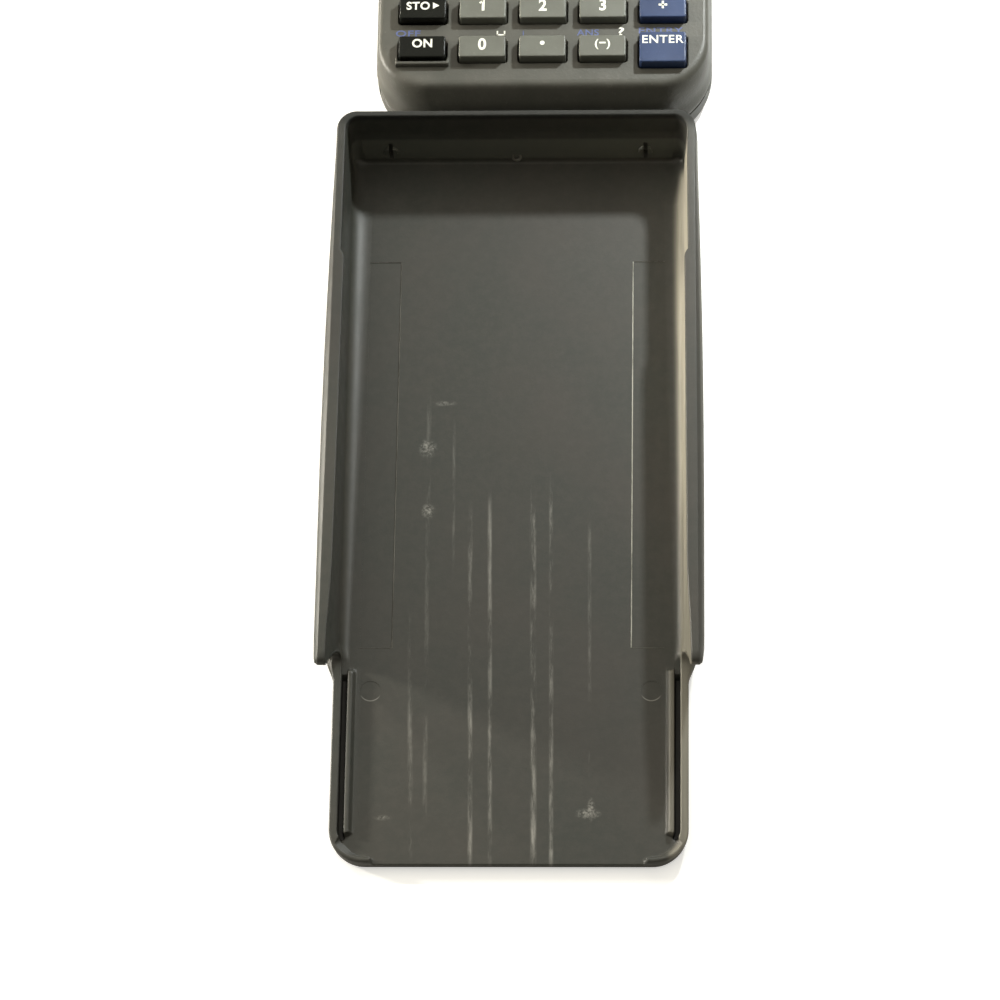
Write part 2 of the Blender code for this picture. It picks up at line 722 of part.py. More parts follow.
def make_lcd(parent, material):
    """The display's frame under the face, with its glass standing up into the opening."""
    half = CASE_HALF - POST_SIDE_INSET - POST_BOSS_RADIUS - FIT_GAP
    module = add_object("lcd_module", block((-half, LCD_START, LCD_LOW_Z), (half, LCD_END, LCD_TOP_Z)), material, parent)
    glass_half = WINDOW_WIDTH / 2 - WINDOW_LEDGE - FIT_GAP
    glass = block(
        (-glass_half, WINDOW_START + WINDOW_LEDGE + FIT_GAP, LCD_TOP_Z - UNION_OVERLAP),
        (glass_half, WINDOW_END - WINDOW_LEDGE - FIT_GAP, LCD_TOP_Z + LCD_GLASS_THICKNESS),
    )
    join(module, "glass", glass)
    return module


def make_mat(parent, material):
    """A rubber sheet with a boss under each key, at the height it has when its key is down."""
    half = CASE_HALF - BOARD_SIDE_MARGIN
    sheet = block((-half, KEYPAD_START, MAT_LOW_Z), (half, KEYPAD_END, MAT_TOP_Z))
    mat = add_object("keypad_mat", sheet, material, parent)
    bosses = []
    for _name, x, y, _width, _length, _finish in key_plan():
        base_z = MAT_TOP_Z - MAT_THICKNESS / 2
        rings = []
        for z, drawn_in in ((base_z, 0), (MAT_TOP_Z, 0), (BOSS_TOP_Z, MAT_BOSS_TAPER)):
            half_x = MAT_BOSS_WIDTH / 2 - drawn_in
            half_y = MAT_BOSS_LENGTH / 2 - drawn_in
            rings.append(
                [(x + a * half_x, y + b * half_y, z) for a, b in ((-1, -1), (1, -1), (1, 1), (-1, 1))]
            )
        bosses.append(loft(rings))
    join(mat, "bosses", merged(bosses))
    return mat


def make_board(parent, material):
    """The circuit board with its chips underneath and the link jack at its chin end."""
    half = CASE_HALF - BOARD_SIDE_MARGIN
    sheet = block((-half, KEYPAD_START, BOARD_LOW_Z), (half, KEYPAD_END, BOARD_TOP_Z))
    board = add_object("main_board", sheet, material, parent)
    chips = []
    for (width, length), (x_share, y_share) in zip(CHIP_SIZES, CHIP_PLACE_SHARES):
        x = x_share * half
        y = KEYPAD_START + y_share * (KEYPAD_END - KEYPAD_START)
        chips.append(
            block(
                (x - width / 2, y - length / 2, BOARD_LOW_Z - CHIP_HEIGHT),
                (x + width / 2, y + length / 2, BOARD_LOW_Z + BOARD_THICKNESS / 2),
            )
        )
    join(board, "chips", merged(chips))
    jack_start = CHIN_SLOPE
    jack = block(
        (-JACK_WIDTH / 2, jack_start, BOARD_LOW_Z - JACK_DROP),
        (JACK_WIDTH / 2, KEYPAD_START + JACK_LENGTH / 2, BOARD_LOW_Z + BOARD_THICKNESS / 2),
    )
    join(board, "jack", jack)
    bore = rod((0, jack_start - CUT_OVERRUN, JACK_AXIS_Z), (0, jack_start + JACK_BORE_DEPTH, JACK_AXIS_Z), JACK_BORE_RADIUS, 10)
    cut(board, "jack_bore", bore)
    return board


def cover_wall_ring(z, side_inset, end_inset, open_inset, flare=0):
    """The cover's outer outline in plan at height z."""
    ring = rounded_outline(
        COVER_WIDTH / 2 - side_inset,
        -COVER_LENGTH + open_inset,
        -end_inset,
        COVER_OPEN_CORNER_RADIUS,
        COVER_CORNER_RADIUS,
        CORNER_STEPS,
        z,
    )
    return flared(ring, flare)


def flared(points, flare):
    """Points drawn outwards by a share of the flare that grows towards the open end."""
    return [(x + math.copysign(flare * y / WALL_RUN, x), y, z) for x, y, z in points]


def cover_shell_rings():
    """The tray's outside: a rounded lower edge, then walls that belly out and flare at the rim."""
    edge = COVER_FLOOR - PANEL_STEP
    return [
        cover_wall_ring(0, LOW_INSET + edge / 2, LOW_INSET + edge / 2, edge / 2),
        cover_wall_ring(edge / 4, LOW_INSET + edge / 8, LOW_INSET + edge / 8, edge / 8),
        cover_wall_ring(edge, LOW_INSET, LOW_INSET, 0),
        cover_wall_ring(LOW_RIM_HEIGHT, LOW_INSET, LOW_INSET / 2, 0),
        cover_wall_ring(COVER_DEPTH / 2, -WALL_BELLY, 0, 0),
        cover_wall_ring(COVER_DEPTH, 0, 0, 0, RIM_FLARE),
    ]


def cover_hollow():
    """The tray's inside between its walls, with a fillet along the floor."""
    fillet = LOW_INSET + COVER_RIM_THICKNESS / 2
    levels = (
        (COVER_FLOOR, fillet + COVER_RIM_THICKNESS, 0),
        (COVER_FLOOR + fillet / 4, fillet + COVER_RIM_THICKNESS / 4, 0),
        (COVER_FLOOR + fillet, fillet, 0),
        (COVER_DEPTH / 2, fillet / 2, 0),
        (COVER_DEPTH, 0, RIM_FLARE),
        (COVER_DEPTH + CUT_OVERRUN, 0, RIM_FLARE),
    )
    rings = []
    for z, inset, flare in levels:
        ring = rounded_outline(
            COVER_WIDTH / 2 - COVER_RIM_THICKNESS - inset,
            -WALL_RUN - CUT_OVERRUN,
            -COVER_RIM_THICKNESS - inset * COVER_RIM_THICKNESS / fillet,
            UNION_OVERLAP,
            COVER_CORNER_RADIUS - COVER_RIM_THICKNESS,
            CORNER_STEPS,
            z,
        )
        rings.append(flared(ring, flare))
    return loft(rings)


def cover_grip(side):
    """The ribbed finger grip that swells out of one side wall."""
    low = GRIP_EDGE_MARGIN + LOW_RIM_HEIGHT / 2
    high = COVER_DEPTH - GRIP_EDGE_MARGIN / 2
    low_wall = COVER_WIDTH / 2 - LOW_INSET
    wall = COVER_WIDTH / 2
    points = 2 * GRIP_RIDGES + 1
    stations = []
    for number in range(GRIP_STATIONS):
        share = number / (GRIP_STATIONS - 1)
        stations.append((GRIP_START + share * (GRIP_FULL - GRIP_START), math.sin(share * math.pi / 2)))
    grip_end = WALL_RUN - GRIP_END_MARGIN
    for turn in (0, 30, 60, 80):
        angle = math.radians(turn)
        stations.append((grip_end - GRIP_END_ROUND * (1 - math.sin(angle)), math.cos(angle)))
    rings = []
    for along, swell in stations:
        ring = [
            (side * (wall - 2 * UNION_OVERLAP), -along, high),
            (side * (low_wall - UNION_OVERLAP), -along, low),
        ]
        for number in range(points):
            share = number / (points - 1)
            arch = math.sin(math.pi * (GRIP_ARCH_START + (1 - 2 * GRIP_ARCH_START) * share)) ** 0.5
            proud = (GRIP_PROUD + UNION_OVERLAP) * arch
            if number % 2:
                proud -= GRIP_RIDGE_DEPTH
            base = low_wall + (wall - low_wall) * min(1, 2 * share) - UNION_OVERLAP
            ring.append((side * (base + swell * (proud + wall - UNION_OVERLAP - base)), -along, low + share * (high - low)))
        rings.append(ring)
    return loft(rings)


def cover_lip(side):
    """The rail along the inside of one rim, which runs in the case's side groove."""
    wall = COVER_WIDTH / 2 - COVER_RIM_THICKNESS
    section = (
        (wall + UNION_OVERLAP, COVER_DEPTH),
        (wall - LIP_DEPTH, COVER_DEPTH),
        (wall - LIP_DEPTH, COVER_DEPTH - LIP_HEIGHT / 2),
        (wall, COVER_DEPTH - LIP_HEIGHT),
        (wall + UNION_OVERLAP, COVER_DEPTH - LIP_HEIGHT),
    )
    start = [(side * max(x, wall + UNION_OVERLAP / 2), -LIP_START, z) for x, z in section]
    full = [[(side * x, -along, z) for x, z in section] for along in (LIP_START + 2 * LIP_DEPTH, LIP_FULL_END)]
    end = [(side * max(x, wall + UNION_OVERLAP / 2), -WALL_FOOT_RUN, z) for x, z in section]
    return loft([flared(ring, RIM_FLARE) for ring in [start] + full + [end]])


def wall_end_cutter():
    """What is taken off where the side walls stop: they overhang their own foot, and their tips are round."""
    overhang = WALL_RUN - WALL_FOOT_RUN
    rise = COVER_DEPTH - LOW_RIM_HEIGHT
    profile = [
        (-WALL_FOOT_RUN - out_share * overhang, LOW_RIM_HEIGHT + up_share * rise)
        for out_share, up_share in WALL_END_SHARES
    ]
    profile.append((profile[-1][0], COVER_DEPTH + CUT_OVERRUN))
    profile.append((-COVER_LENGTH - CUT_OVERRUN, COVER_DEPTH + CUT_OVERRUN))
    profile.append((-COVER_LENGTH - CUT_OVERRUN, LOW_RIM_HEIGHT))
    return loft([[(x, y, z) for y, z in profile] for x in (-COVER_WIDTH, COVER_WIDTH)])


def cut_low_floor(cover, rib_inner, rib_end):
    """The floor between the ribs and round the corners of the open end."""
    top = LOW_RIM_HEIGHT + CUT_OVERRUN
    middle = block((-rib_inner, -rib_end - CUT_OVERRUN / 2, COVER_FLOOR), (rib_inner, -RIB_START, top))
    cut(cover, "low_floor", middle)
    corners = [
        rounded_outline(
            COVER_WIDTH / 2 - LOW_INSET - LOW_RIM_WIDTH,
            -COVER_LENGTH + LOW_RIM_WIDTH,
            -rib_end,
            COVER_OPEN_CORNER_RADIUS - LOW_RIM_WIDTH,
            UNION_OVERLAP,
            CORNER_STEPS,
            z,
        )
        for z in (COVER_FLOOR, top)
    ]
    cut(cover, "corner_floor", loft(corners))
    gap_half = LOW_RIM_GAP_WIDTH / 2
    fade = LOW_RIM_FADE * (top - COVER_FLOOR) / (LOW_RIM_HEIGHT - COVER_FLOOR)
    gap = [
        [
            (-gap_half, y, COVER_FLOOR),
            (gap_half, y, COVER_FLOOR),
            (gap_half + fade, y, top),
            (-gap_half - fade, y, top),
        ]
        for y in (-COVER_LENGTH - CUT_OVERRUN, -COVER_LENGTH + LOW_RIM_WIDTH + CUT_OVERRUN / 2)
    ]
    cut(cover, "rim_gap", loft(gap))


def make_cover(parent, material):
    """The slide cover, lying as a tray with its inside up."""
    cover = add_object("slide_cover", loft(cover_shell_rings()), material, parent)
    cut(cover, "hollow", cover_hollow())
    for side, name in ((-1, "left"), (1, "right")):
        join(cover, f"{name}_grip", cover_grip(side))
        join(cover, f"{name}_lip", cover_lip(side))
    cut(cover, "wall_end", wall_end_cutter())
    slot_outer = COVER_WIDTH / 2 - LOW_INSET - LOW_RIM_WIDTH
    rib_outer = slot_outer - SLOT_WIDTH
    rib_inner = rib_outer - RIB_WIDTH
    rib_end = COVER_LENGTH - LOW_RIM_WIDTH - RIB_END_MARGIN
    cut_low_floor(cover, rib_inner, rib_end)
    for side, name in ((-1, "left"), (1, "right")):
        ends = sorted((side * rib_outer, side * slot_outer))
        slot = block(
            (ends[0], -rib_end - CUT_OVERRUN / 2, SLOT_FLOOR),
            (ends[1], -RIB_START - SLOT_WIDTH, LOW_RIM_HEIGHT + CUT_OVERRUN),
        )
        cut(cover, f"{name}_slot", slot)
        ends = sorted((side * PANEL_INNER_HALF, side * rib_inner))
        panel = block((ends[0], -PANEL_END, COVER_FLOOR - PANEL_STEP), (ends[1], -PANEL_START, COVER_FLOOR + PANEL_STEP))
        cut(cover, f"{name}_panel", panel)
        middle = side * NOTCH_HALF_SPACING
        notch = block(
            (middle - NOTCH_WIDTH / 2, -2 * COVER_RIM_THICKNESS - NOTCH_DEPTH, COVER_FLOOR + PANEL_STEP),
            (middle + NOTCH_WIDTH / 2, -COVER_RIM_THICKNESS - NOTCH_DEPTH, COVER_FLOOR + NOTCH_HEIGHT),
        )
        cut(cover, f"{name}_notch", notch)


def main():
    clear_scene()
    case_plastic = finish_material("case_plastic", (0.105, 0.103, 0.086), 0.55)
    cover_plastic = finish_material("cover_plastic", (0.078, 0.080, 0.068), 0.48)
    key_finishes = {
        "pale": finish_material("pale_key_plastic", (0.262, 0.255, 0.215), 0.5),
        "dark": finish_material("dark_key_plastic", (0.022, 0.023, 0.020), 0.45),
        "blue": finish_material("blue_key_plastic", (0.105, 0.145, 0.245), 0.45),
    }
    calculator = add_frame("calculator_frame", (CASE_X, CASE_Y, 0))
    make_front_shell(calculator, case_plastic)
    make_rear_shell(calculator, case_plastic)
    make_battery_door(calculator, case_plastic)
    make_window(calculator, finish_material("window_plastic", (0.30, 0.32, 0.30), 0.1, alpha=0.35))
    make_lcd(calculator, finish_material("lcd_glass", (0.30, 0.34, 0.27), 0.3))
    make_mat(calculator, finish_material("mat_rubber", (0.33, 0.33, 0.32), 0.8))
    make_board(calculator, finish_material("board_green", (0.02, 0.12, 0.05), 0.5))
    make_cells(calculator, finish_material("cell_jacket", (0.10, 0.10, 0.11), 0.35))
    make_backup_cell(calculator, finish_material("coin_steel", (0.62, 0.62, 0.62), 0.3, 1.0))
    make_keys(calculator, key_finishes)
    cover = add_frame("cover_frame", (COVER_X, COVER_Y, 0))
    make_cover(cover, cover_plastic)
    for piece in bpy.data.objects:
        if piece.type == "MESH" and piece.display_type != "WIRE":
            shade_round(piece, math.radians(35))


main()
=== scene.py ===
"""Graphing calculator lying behind its slide-on cover: finished pieces, finishes, light and camera.

Sizes are in millimetres in each half's own frame: x across, y along, z up from the table.
The cover's y runs from its closed end (0) to its open end (-182), the calculator's from its chin (0) to its head.
"""

import math

import bmesh
import bpy
from mathutils import Matrix, Vector


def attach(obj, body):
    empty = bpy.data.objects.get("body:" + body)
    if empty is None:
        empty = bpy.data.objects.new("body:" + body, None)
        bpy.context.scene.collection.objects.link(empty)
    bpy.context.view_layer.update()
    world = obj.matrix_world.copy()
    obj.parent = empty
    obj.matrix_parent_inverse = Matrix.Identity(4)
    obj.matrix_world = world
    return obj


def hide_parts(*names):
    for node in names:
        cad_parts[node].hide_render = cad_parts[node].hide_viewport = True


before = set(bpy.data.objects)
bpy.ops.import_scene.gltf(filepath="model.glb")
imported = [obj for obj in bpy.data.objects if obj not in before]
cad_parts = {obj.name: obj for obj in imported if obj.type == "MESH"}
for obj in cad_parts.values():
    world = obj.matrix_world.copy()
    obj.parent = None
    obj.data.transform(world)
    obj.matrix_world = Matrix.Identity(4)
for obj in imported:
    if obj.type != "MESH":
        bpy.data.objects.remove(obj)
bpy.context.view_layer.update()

MM = 0.001
WELD = 0.0005
PRINT = 0.055
CAPITAL = 0.70
COVER_PLACE = Matrix.Translation((-0.001, 0.00065, 0))
CASE_PLACE = Matrix.Translation((0.005, 0.00095, 0))

COVER_HALF = 41.5
COVER_LENGTH = 182.0
COVER_DEPTH = 20.7
COVER_FLOOR = 2.0
CLOSED_CORNER = 4.6
OPEN_CORNER = 8.2
LOW_RIM = 3.4
INSERT_IN, INSERT_OUT = 27.3, 34.6
INSERT_FAR, INSERT_NEAR = -129.3, -30.6
EJECTOR_X, EJECTOR_Y, EJECTOR_RADIUS = 31.9, -139.85, 2.4
BOSS_X = 30.2

CASE_HALF = 40.0
CASE_LENGTH = 180.4
FACE = 21.0
PARTING = 7.0
SLOPE_START = 8.5
KEY_PITCH_X = 14.2
KEY_PITCH_Y = 10.45
KEY_WIDTH = 11.1
KEY_LENGTH = 5.8
ENTER_LENGTH = 8.2
SMALL_KEY_LENGTH = 5.2
KEY_TOP = 23.55
KEY_ROUND = 0.35
FIRST_ROW = 15.3
FUNCTION_ROW = 109.7
LAST_ROW = FIRST_ROW + 8 * KEY_PITCH_Y
DOOR_START = 119.5


# ---------------------------------------------------------------- making pieces


def collection_link(piece):
    """Puts an object in the scene."""
    bpy.context.scene.collection.objects.link(piece)
    return piece


def welded(bm):
    """Joins points that fall together and turns all faces outwards."""
    bmesh.ops.remove_doubles(bm, verts=bm.verts, dist=WELD)
    bmesh.ops.recalc_face_normals(bm, faces=bm.faces)
    return bm


def mesh_of(name, bm):
    """A mesh from what was made, which is then let go."""
    mesh = bpy.data.meshes.new(name)
    bm.to_mesh(mesh)
    bm.free()
    return mesh


def as_seen(piece):
    """An object's shape with its modifiers, as a new one to go on with."""
    seen = piece.evaluated_get(bpy.context.evaluated_depsgraph_get())
    bm = bmesh.new()
    bm.from_mesh(seen.to_mesh())
    seen.to_mesh_clear()
    return bm


def finished(name, bm, body, material, place, replaces=(), smooth=32):
    """Puts a mesh made in millimetres in its place in metres, as a piece that rides on a body."""
    welded(bm).transform(place @ Matrix.Scale(MM, 4))
    mesh = mesh_of(name, bm)
    mesh.materials.append(material)
    mesh.shade_smooth()
    mesh.set_sharp_from_angle(angle=math.radians(smooth))
    piece = collection_link(bpy.data.objects.new(name, mesh))
    even = piece.modifiers.new("even_shading", "WEIGHTED_NORMAL")
    even.keep_sharp = True
    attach(piece, body)
    if replaces:
        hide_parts(*replaces)
    return piece


def solid_object(name, bm):
    """A loose working object, in millimetres, for a cut."""
    return collection_link(bpy.data.objects.new(name, mesh_of(name, welded(bm))))


def carve(bm, steps):
    """Cuts solids out of a solid or joins them on, one after another, and gives back the result."""
    base = solid_object("carved", bm)
    tools = []
    for number, (operation, tool_bm) in enumerate(steps):
        tool = solid_object(f"tool_{number}", tool_bm)
        modifier = base.modifiers.new(f"step_{number}", "BOOLEAN")
        modifier.operation = operation
        modifier.object = tool
        modifier.solver = "EXACT"
        tools.append(tool)
    result = as_seen(base)
    for piece in [base, *tools]:
        bpy.data.meshes.remove(piece.data)
    return result


def together(*parts):
    """One mesh from several."""
    bm = bmesh.new()
    for part in parts:
        mesh = mesh_of("part", part)
        bm.from_mesh(mesh)
        bpy.data.meshes.remove(mesh)
    return bm


def sheet_over(columns, rows, spot):
    """A grid of squares laid on a surface, where spot(column, row) is the place of each corner."""
    bm = bmesh.new()
    bmesh.ops.create_grid(bm, x_segments=columns, y_segments=rows, size=1)
    for vert in bm.verts:
        column = round((vert.co.x + 1) / 2 * columns)
        row = round((vert.co.y + 1) / 2 * rows)
        vert.co = spot(column, row)
    bmesh.ops.remove_doubles(bm, verts=bm.verts, dist=WELD)
    return bm


def close_ends(bm):
    """Fills what is open and turns all faces outwards."""
    edges = [edge for edge in bm.edges if edge.is_boundary]
    bmesh.ops.holes_fill(bm, edges=edges, sides=0)
    bmesh.ops.recalc_face_normals(bm, faces=bm.faces)
    return bm


def stacked(outlines):
    """A solid through outlines laid one over another, each with the same number of points."""
    count = len(outlines[0])
    bm = sheet_over(count, len(outlines) - 1, lambda column, row: outlines[row][column % count])
    return close_ends(bm)


def outline(half, low, high, low_radius, high_radius, z, steps=12):
    """A rounded rectangle in plan, as points at height z."""
    points = []
    corners = (
        (half, low, low_radius, -90),
        (half, high, high_radius, 0),
        (-half, high, high_radius, 90),
        (-half, low, low_radius, 180),
    )
    for x, y, radius, start in corners:
        centre = Vector((x - math.copysign(radius, x), y + radius if y == low else y - radius, z))
        for step in range(steps + 1):
            angle = math.radians(start + 90 * step / steps)
            points.append(centre + Vector((math.cos(angle), math.sin(angle), 0)) * radius)
    return points


def rounded(bm, edges, radius, segments):
    """Rounds edges of a solid."""
    bmesh.ops.bevel(bm, geom=edges, offset=radius, segments=segments, profile=0.5, affect="EDGES", material=-1)


def block(low, high, edge=0.0, segments=2):
    """A box between two corners, its edges rounded."""
    low, high = Vector(low), Vector(high)
    bm = bmesh.new()
    size = Matrix.Diagonal((*(high - low), 1))
    bmesh.ops.create_cube(bm, size=1, matrix=Matrix.Translation((low + high) / 2) @ size)
    if edge:
        rounded(bm, bm.edges[:], edge, segments)
    return bm


def disc(centre, radius, low, high, edge=0.0, sides=48):
    """An upright round solid, its rims rounded."""
    bm = bmesh.new()
    middle = Matrix.Translation((centre[0], centre[1], (low + high) / 2))
    bmesh.ops.create_cone(
        bm, cap_ends=True, segments=sides, radius1=radius, radius2=radius, depth=high - low, matrix=middle
    )
    if edge:
        rims = [e for e in bm.edges if abs(e.verts[0].co.z - e.verts[1].co.z) < 1e-5]
        rounded(bm, rims, edge, 3)
    return bm


def turned(profile, axis_place, sides=48):
    """A solid of revolution: points of (radius, height) spun about z, then placed."""
    bm = bmesh.new()
    verts = [bm.verts.new((radius, 0, height)) for radius, height in profile]
    for a, b in zip(verts, verts[1:]):
        bm.edges.new((a, b))
    geom = bm.verts[:] + bm.edges[:]
    bmesh.ops.spin(
        bm, geom=geom, cent=(0, 0, 0), axis=(0, 0, 1), angle=math.tau, steps=sides, use_merge=True
    )
    welded(bm).transform(axis_place)
    return bm


def smooth_curve(knots, at):
    """A smooth value through (place, value) knots."""
    if at <= knots[0][0]:
        return knots[0][1]
    if at >= knots[-1][0]:
        return knots[-1][1]
    number = next(i for i in range(len(knots) - 1) if knots[i + 1][0] >= at)
    (x0, y0), (x1, y1) = knots[number], knots[number + 1]
    before = knots[max(number - 1, 0)]
    after = knots[min(number + 2, len(knots) - 1)]
    step = x1 - x0
    slope0 = (y1 - before[1]) / (x1 - before[0])
    slope1 = (after[1] - y0) / (after[0] - x0)
    t = (at - x0) / step
    return (
        (2 * t**3 - 3 * t**2 + 1) * y0
        + (t**3 - 2 * t**2 + t) * step * slope0
        + (3 * t**2 - 2 * t**3) * y1
        + (t**3 - t**2) * step * slope1
    )


def ease(low, high, at):
    """0 below low, 1 above high, smooth between."""
    t = min(max((at - low) / (high - low), 0), 1)
    return t * t * (3 - 2 * t)


def between(a, b, share):
    """The value at a share of the way from a to b."""
    return a + (b - a) * share


# ---------------------------------------------------------------- finishes


class Finish:
    """A material under construction: its nodes are added one by one."""

    def __init__(self, name):
        self.material = bpy.data.materials.new(name)
        self.material.use_nodes = True
        self.nodes = self.material.node_tree.nodes
        self.links = self.material.node_tree.links
        self.shader = self.nodes["Principled BSDF"]
        self.place = self.nodes.new("ShaderNodeTexCoord").outputs["Object"]

    def node(self, kind, inputs=(), **settings):
        made = self.nodes.new(f"ShaderNode{kind}")
        for key, value in settings.items():
            setattr(made, key, value)
        for key, value in dict(inputs).items():
            self.put(made.inputs[key], value)
        return made

    def put(self, socket, value):
        if isinstance(value, bpy.types.NodeSocket):
            self.links.new(value, socket)
        else:
            socket.default_value = value

    def math(self, operation, a, b=0.0, c=0.0):
        return self.node("Math", {0: a, 1: b, 2: c}, operation=operation).outputs[0]

    def product(self, value, *others):
        for other in others:
            value = self.math("MULTIPLY", value, other)
        return value

    def vector(self, operation, a, b=(0, 0, 0)):
        return self.node("VectorMath", {0: a, 1: b}, operation=operation).outputs

    def noise(self, scale, detail=3.0, roughness=0.5, place=None):
        inputs = {"Vector": place or self.place, "Scale": scale, "Detail": detail, "Roughness": roughness}
        return self.node("TexNoise", inputs).outputs["Fac"]

    def spread(self, value, low, high, to_low=0.0, to_high=1.0, kind="SMOOTHSTEP"):
        """A value mapped from one range to another, and held at its ends."""
        inputs = {0: value, 1: low, 2: high, 3: to_low, 4: to_high}
        return self.node("MapRange", inputs, interpolation_type=kind, clamp=True).outputs[0]

    def rise(self, axis, low, high, to_low=0.0, to_high=1.0):
        """Grows between two places along an axis, in millimetres from the frame's origin."""
        return self.spread(self.axis(axis), low * MM, high * MM, to_low, to_high)

    def fall(self, axis, low, high, to_low=1.0, to_high=0.0):
        """Fades between two places along an axis, in millimetres from the frame's origin."""
        return self.spread(self.axis(axis), low * MM, high * MM, to_low, to_high)

    def blend(self, share, a, b):
        made = self.node("Mix", data_type="RGBA")
        for number, value in ((0, share), (6, a), (7, b)):
            self.put(made.inputs[number], value)
        return made.outputs[2]

    def stretched(self, scale, location=(0, 0, 0)):
        return self.node("Mapping", {"Vector": self.place, "Location": location, "Scale": scale}).outputs[0]

    def axis(self, name):
        return self.node("SeparateXYZ", {0: self.place}).outputs[name]

    def bump(self, height, strength, distance):
        return self.node("Bump", {"Height": height, "Strength": strength, "Distance": distance}).outputs[0]

    def set(self, **values):
        for key, value in values.items():
            self.put(self.shader.inputs[key.replace("_", " ")], value)
        return self


def rgb(red, green, blue):
    """A colour as it is seen on a screen, 0 to 255."""

    def linear(value):
        value /= 255
        return value / 12.92 if value <= 0.04045 else ((value + 0.055) / 1.055) ** 2.4

    return (linear(red), linear(green), linear(blue), 1.0)


def moulded(name, colour, dark, light, rough, grain=0.25, grain_size=1500, specular=0.5):
    """Moulded plastic with a fine eroded grain, slow colour drift and rubbed spots."""
    f = Finish(name)
    drift = f.spread(f.noise(90, 4.0, 0.6), 0.3, 0.7)
    speckle = f.spread(f.noise(grain_size, 2.0, 0.6), 0.62, 0.78)
    base = f.blend(drift, dark, colour)
    base = f.blend(f.product(speckle, 0.35), base, light)
    rubbed = f.spread(f.noise(130, 3.0, 0.5), 0.25, 0.80, rough + 0.04, rough - 0.04, "LINEAR")
    fine = f.bump(f.noise(grain_size, 3.0, 0.6), grain, 0.00012)
    f.set(Base_Color=base, Roughness=rubbed, Normal=fine, Specular_IOR_Level=specular)
    return f


def streak(f, x_start, x_end, y_high, y_low, width, seed, strength):
    """A rubbed line along the cover's floor, broken up along its length. Sizes in millimetres."""
    cover_x, cover_y, _ = COVER_PLACE.translation / MM
    slope = (x_end - x_start) / (y_low - y_high)
    start = (x_start - slope * y_high + cover_x - slope * cover_y) * MM
    centre = f.math("MULTIPLY_ADD", f.axis("Y"), slope, start)
    away = f.math("ABSOLUTE", f.math("SUBTRACT", f.axis("X"), centre))
    line = f.spread(away, width * 0.15 * MM, width * MM, 1.0, 0.0)
    broken_place = f.stretched((260, 38, 1), (seed, seed * 1.7, 0))
    broken = f.spread(f.noise(1.0, 6.0, 0.75, broken_place), 0.42, 0.72)
    low, high = y_low + cover_y, y_high + cover_y
    inside = f.product(f.rise("Y", low - 3, low + 4), f.fall("Y", high - 12, high))
    return f.product(line, broken, f.product(inside, strength))


def smudge(f, x, y, radius_x, radius_y, seed, strength):
    """A pale rubbed patch at a place on the cover's floor."""
    middle = COVER_PLACE.translation + Vector((x, y, 0)) * MM
    centred = f.vector("SUBTRACT", f.place, middle)[0]
    scaled = f.vector("MULTIPLY", centred, (1 / (radius_x * MM), 1 / (radius_y * MM), 0))[0]
    patch = f.spread(f.vector("LENGTH", scaled)["Value"], 0.1, 1.0, 1.0, 0.0)
    torn = f.spread(f.noise(900, 5.0, 0.8, f.stretched((1, 1, 0), (seed, 0, 0))), 0.40, 0.68)
    return f.product(patch, torn, strength)


def painted_arc_highlight(f, x, y, strength):
    """A painted highlight along the lower edge of a round ejector mark."""
    middle = COVER_PLACE.translation + Vector((x, y, 0)) * MM
    flat = f.vector("MULTIPLY", f.place, (1, 1, 0))[0]
    away = f.vector("LENGTH", f.vector("SUBTRACT", flat, middle)[0])["Value"]
    from_ring = f.math("ABSOLUTE", f.math("SUBTRACT", away, EJECTOR_RADIUS * MM))
    ring = f.spread(from_ring, 0.00004, 0.00022, 1.0, 0.0)
    below = f.fall("Y", middle.y / MM - 2.2, middle.y / MM - 0.8)
    return f.product(ring, below, strength)


def painted_wall_light(f):
    """Painted light on the right inside wall: paler where the low lamp lights it, fading out at the closed end and
    towards the open end.
    """
    across = f.product(f.rise("X", 34.0, 36.2), f.fall("X", 39.8, 41.4, 1.0, 0.15))
    upright = f.product(f.rise("Z", 2.1, 3.2), f.fall("Z", 19.6, 20.0))
    worn = f.spread(f.noise(1.0, 4.0, 0.6, f.stretched((300, 22, 300))), 0.25, 0.6, 0.55, 1.0)
    along = f.product(f.fall("Y", -9.0, -5.0), f.rise("Y", -135.0, -50.0, 0.36, 1.0), worn)
    return f.product(across, upright, along)


def painted_rim_shade(f):
    """Painted shade on the rim: darker round the closed end, and a little darker along the left side."""
    left = f.product(f.fall("X", -40.5, -38.5, 0.5), f.rise("Y", -90.0, -45.0))
    return f.product(f.math("MAXIMUM", f.rise("Y", -5.0, -1.5), left), f.rise("Z", 18.0, 19.8))


def painted_end_light(f):
    """Painted light: the lower part of the closed end's inside, made a little paler."""
    height = f.product(f.rise("Z", 2.8, 4.0), f.fall("Z", 10.0, 11.2))
    return f.product(f.rise("Y", -6.0, -4.5), height)


def painted_slot_shade(f):
    """Painted shade in the two slots along the low rim, from the cover's floor down to theirs."""
    out = f.math("ABSOLUTE", f.math("SUBTRACT", f.axis("X"), COVER_PLACE.translation.x))
    across = f.product(f.spread(out, 0.0355, 0.0360), f.spread(out, 0.0390, 0.0394, 1.0, 0.0))
    return f.product(f.fall("Z", 0.9, 1.9, 0.97), f.rise("Z", 0.3, 0.5), across)


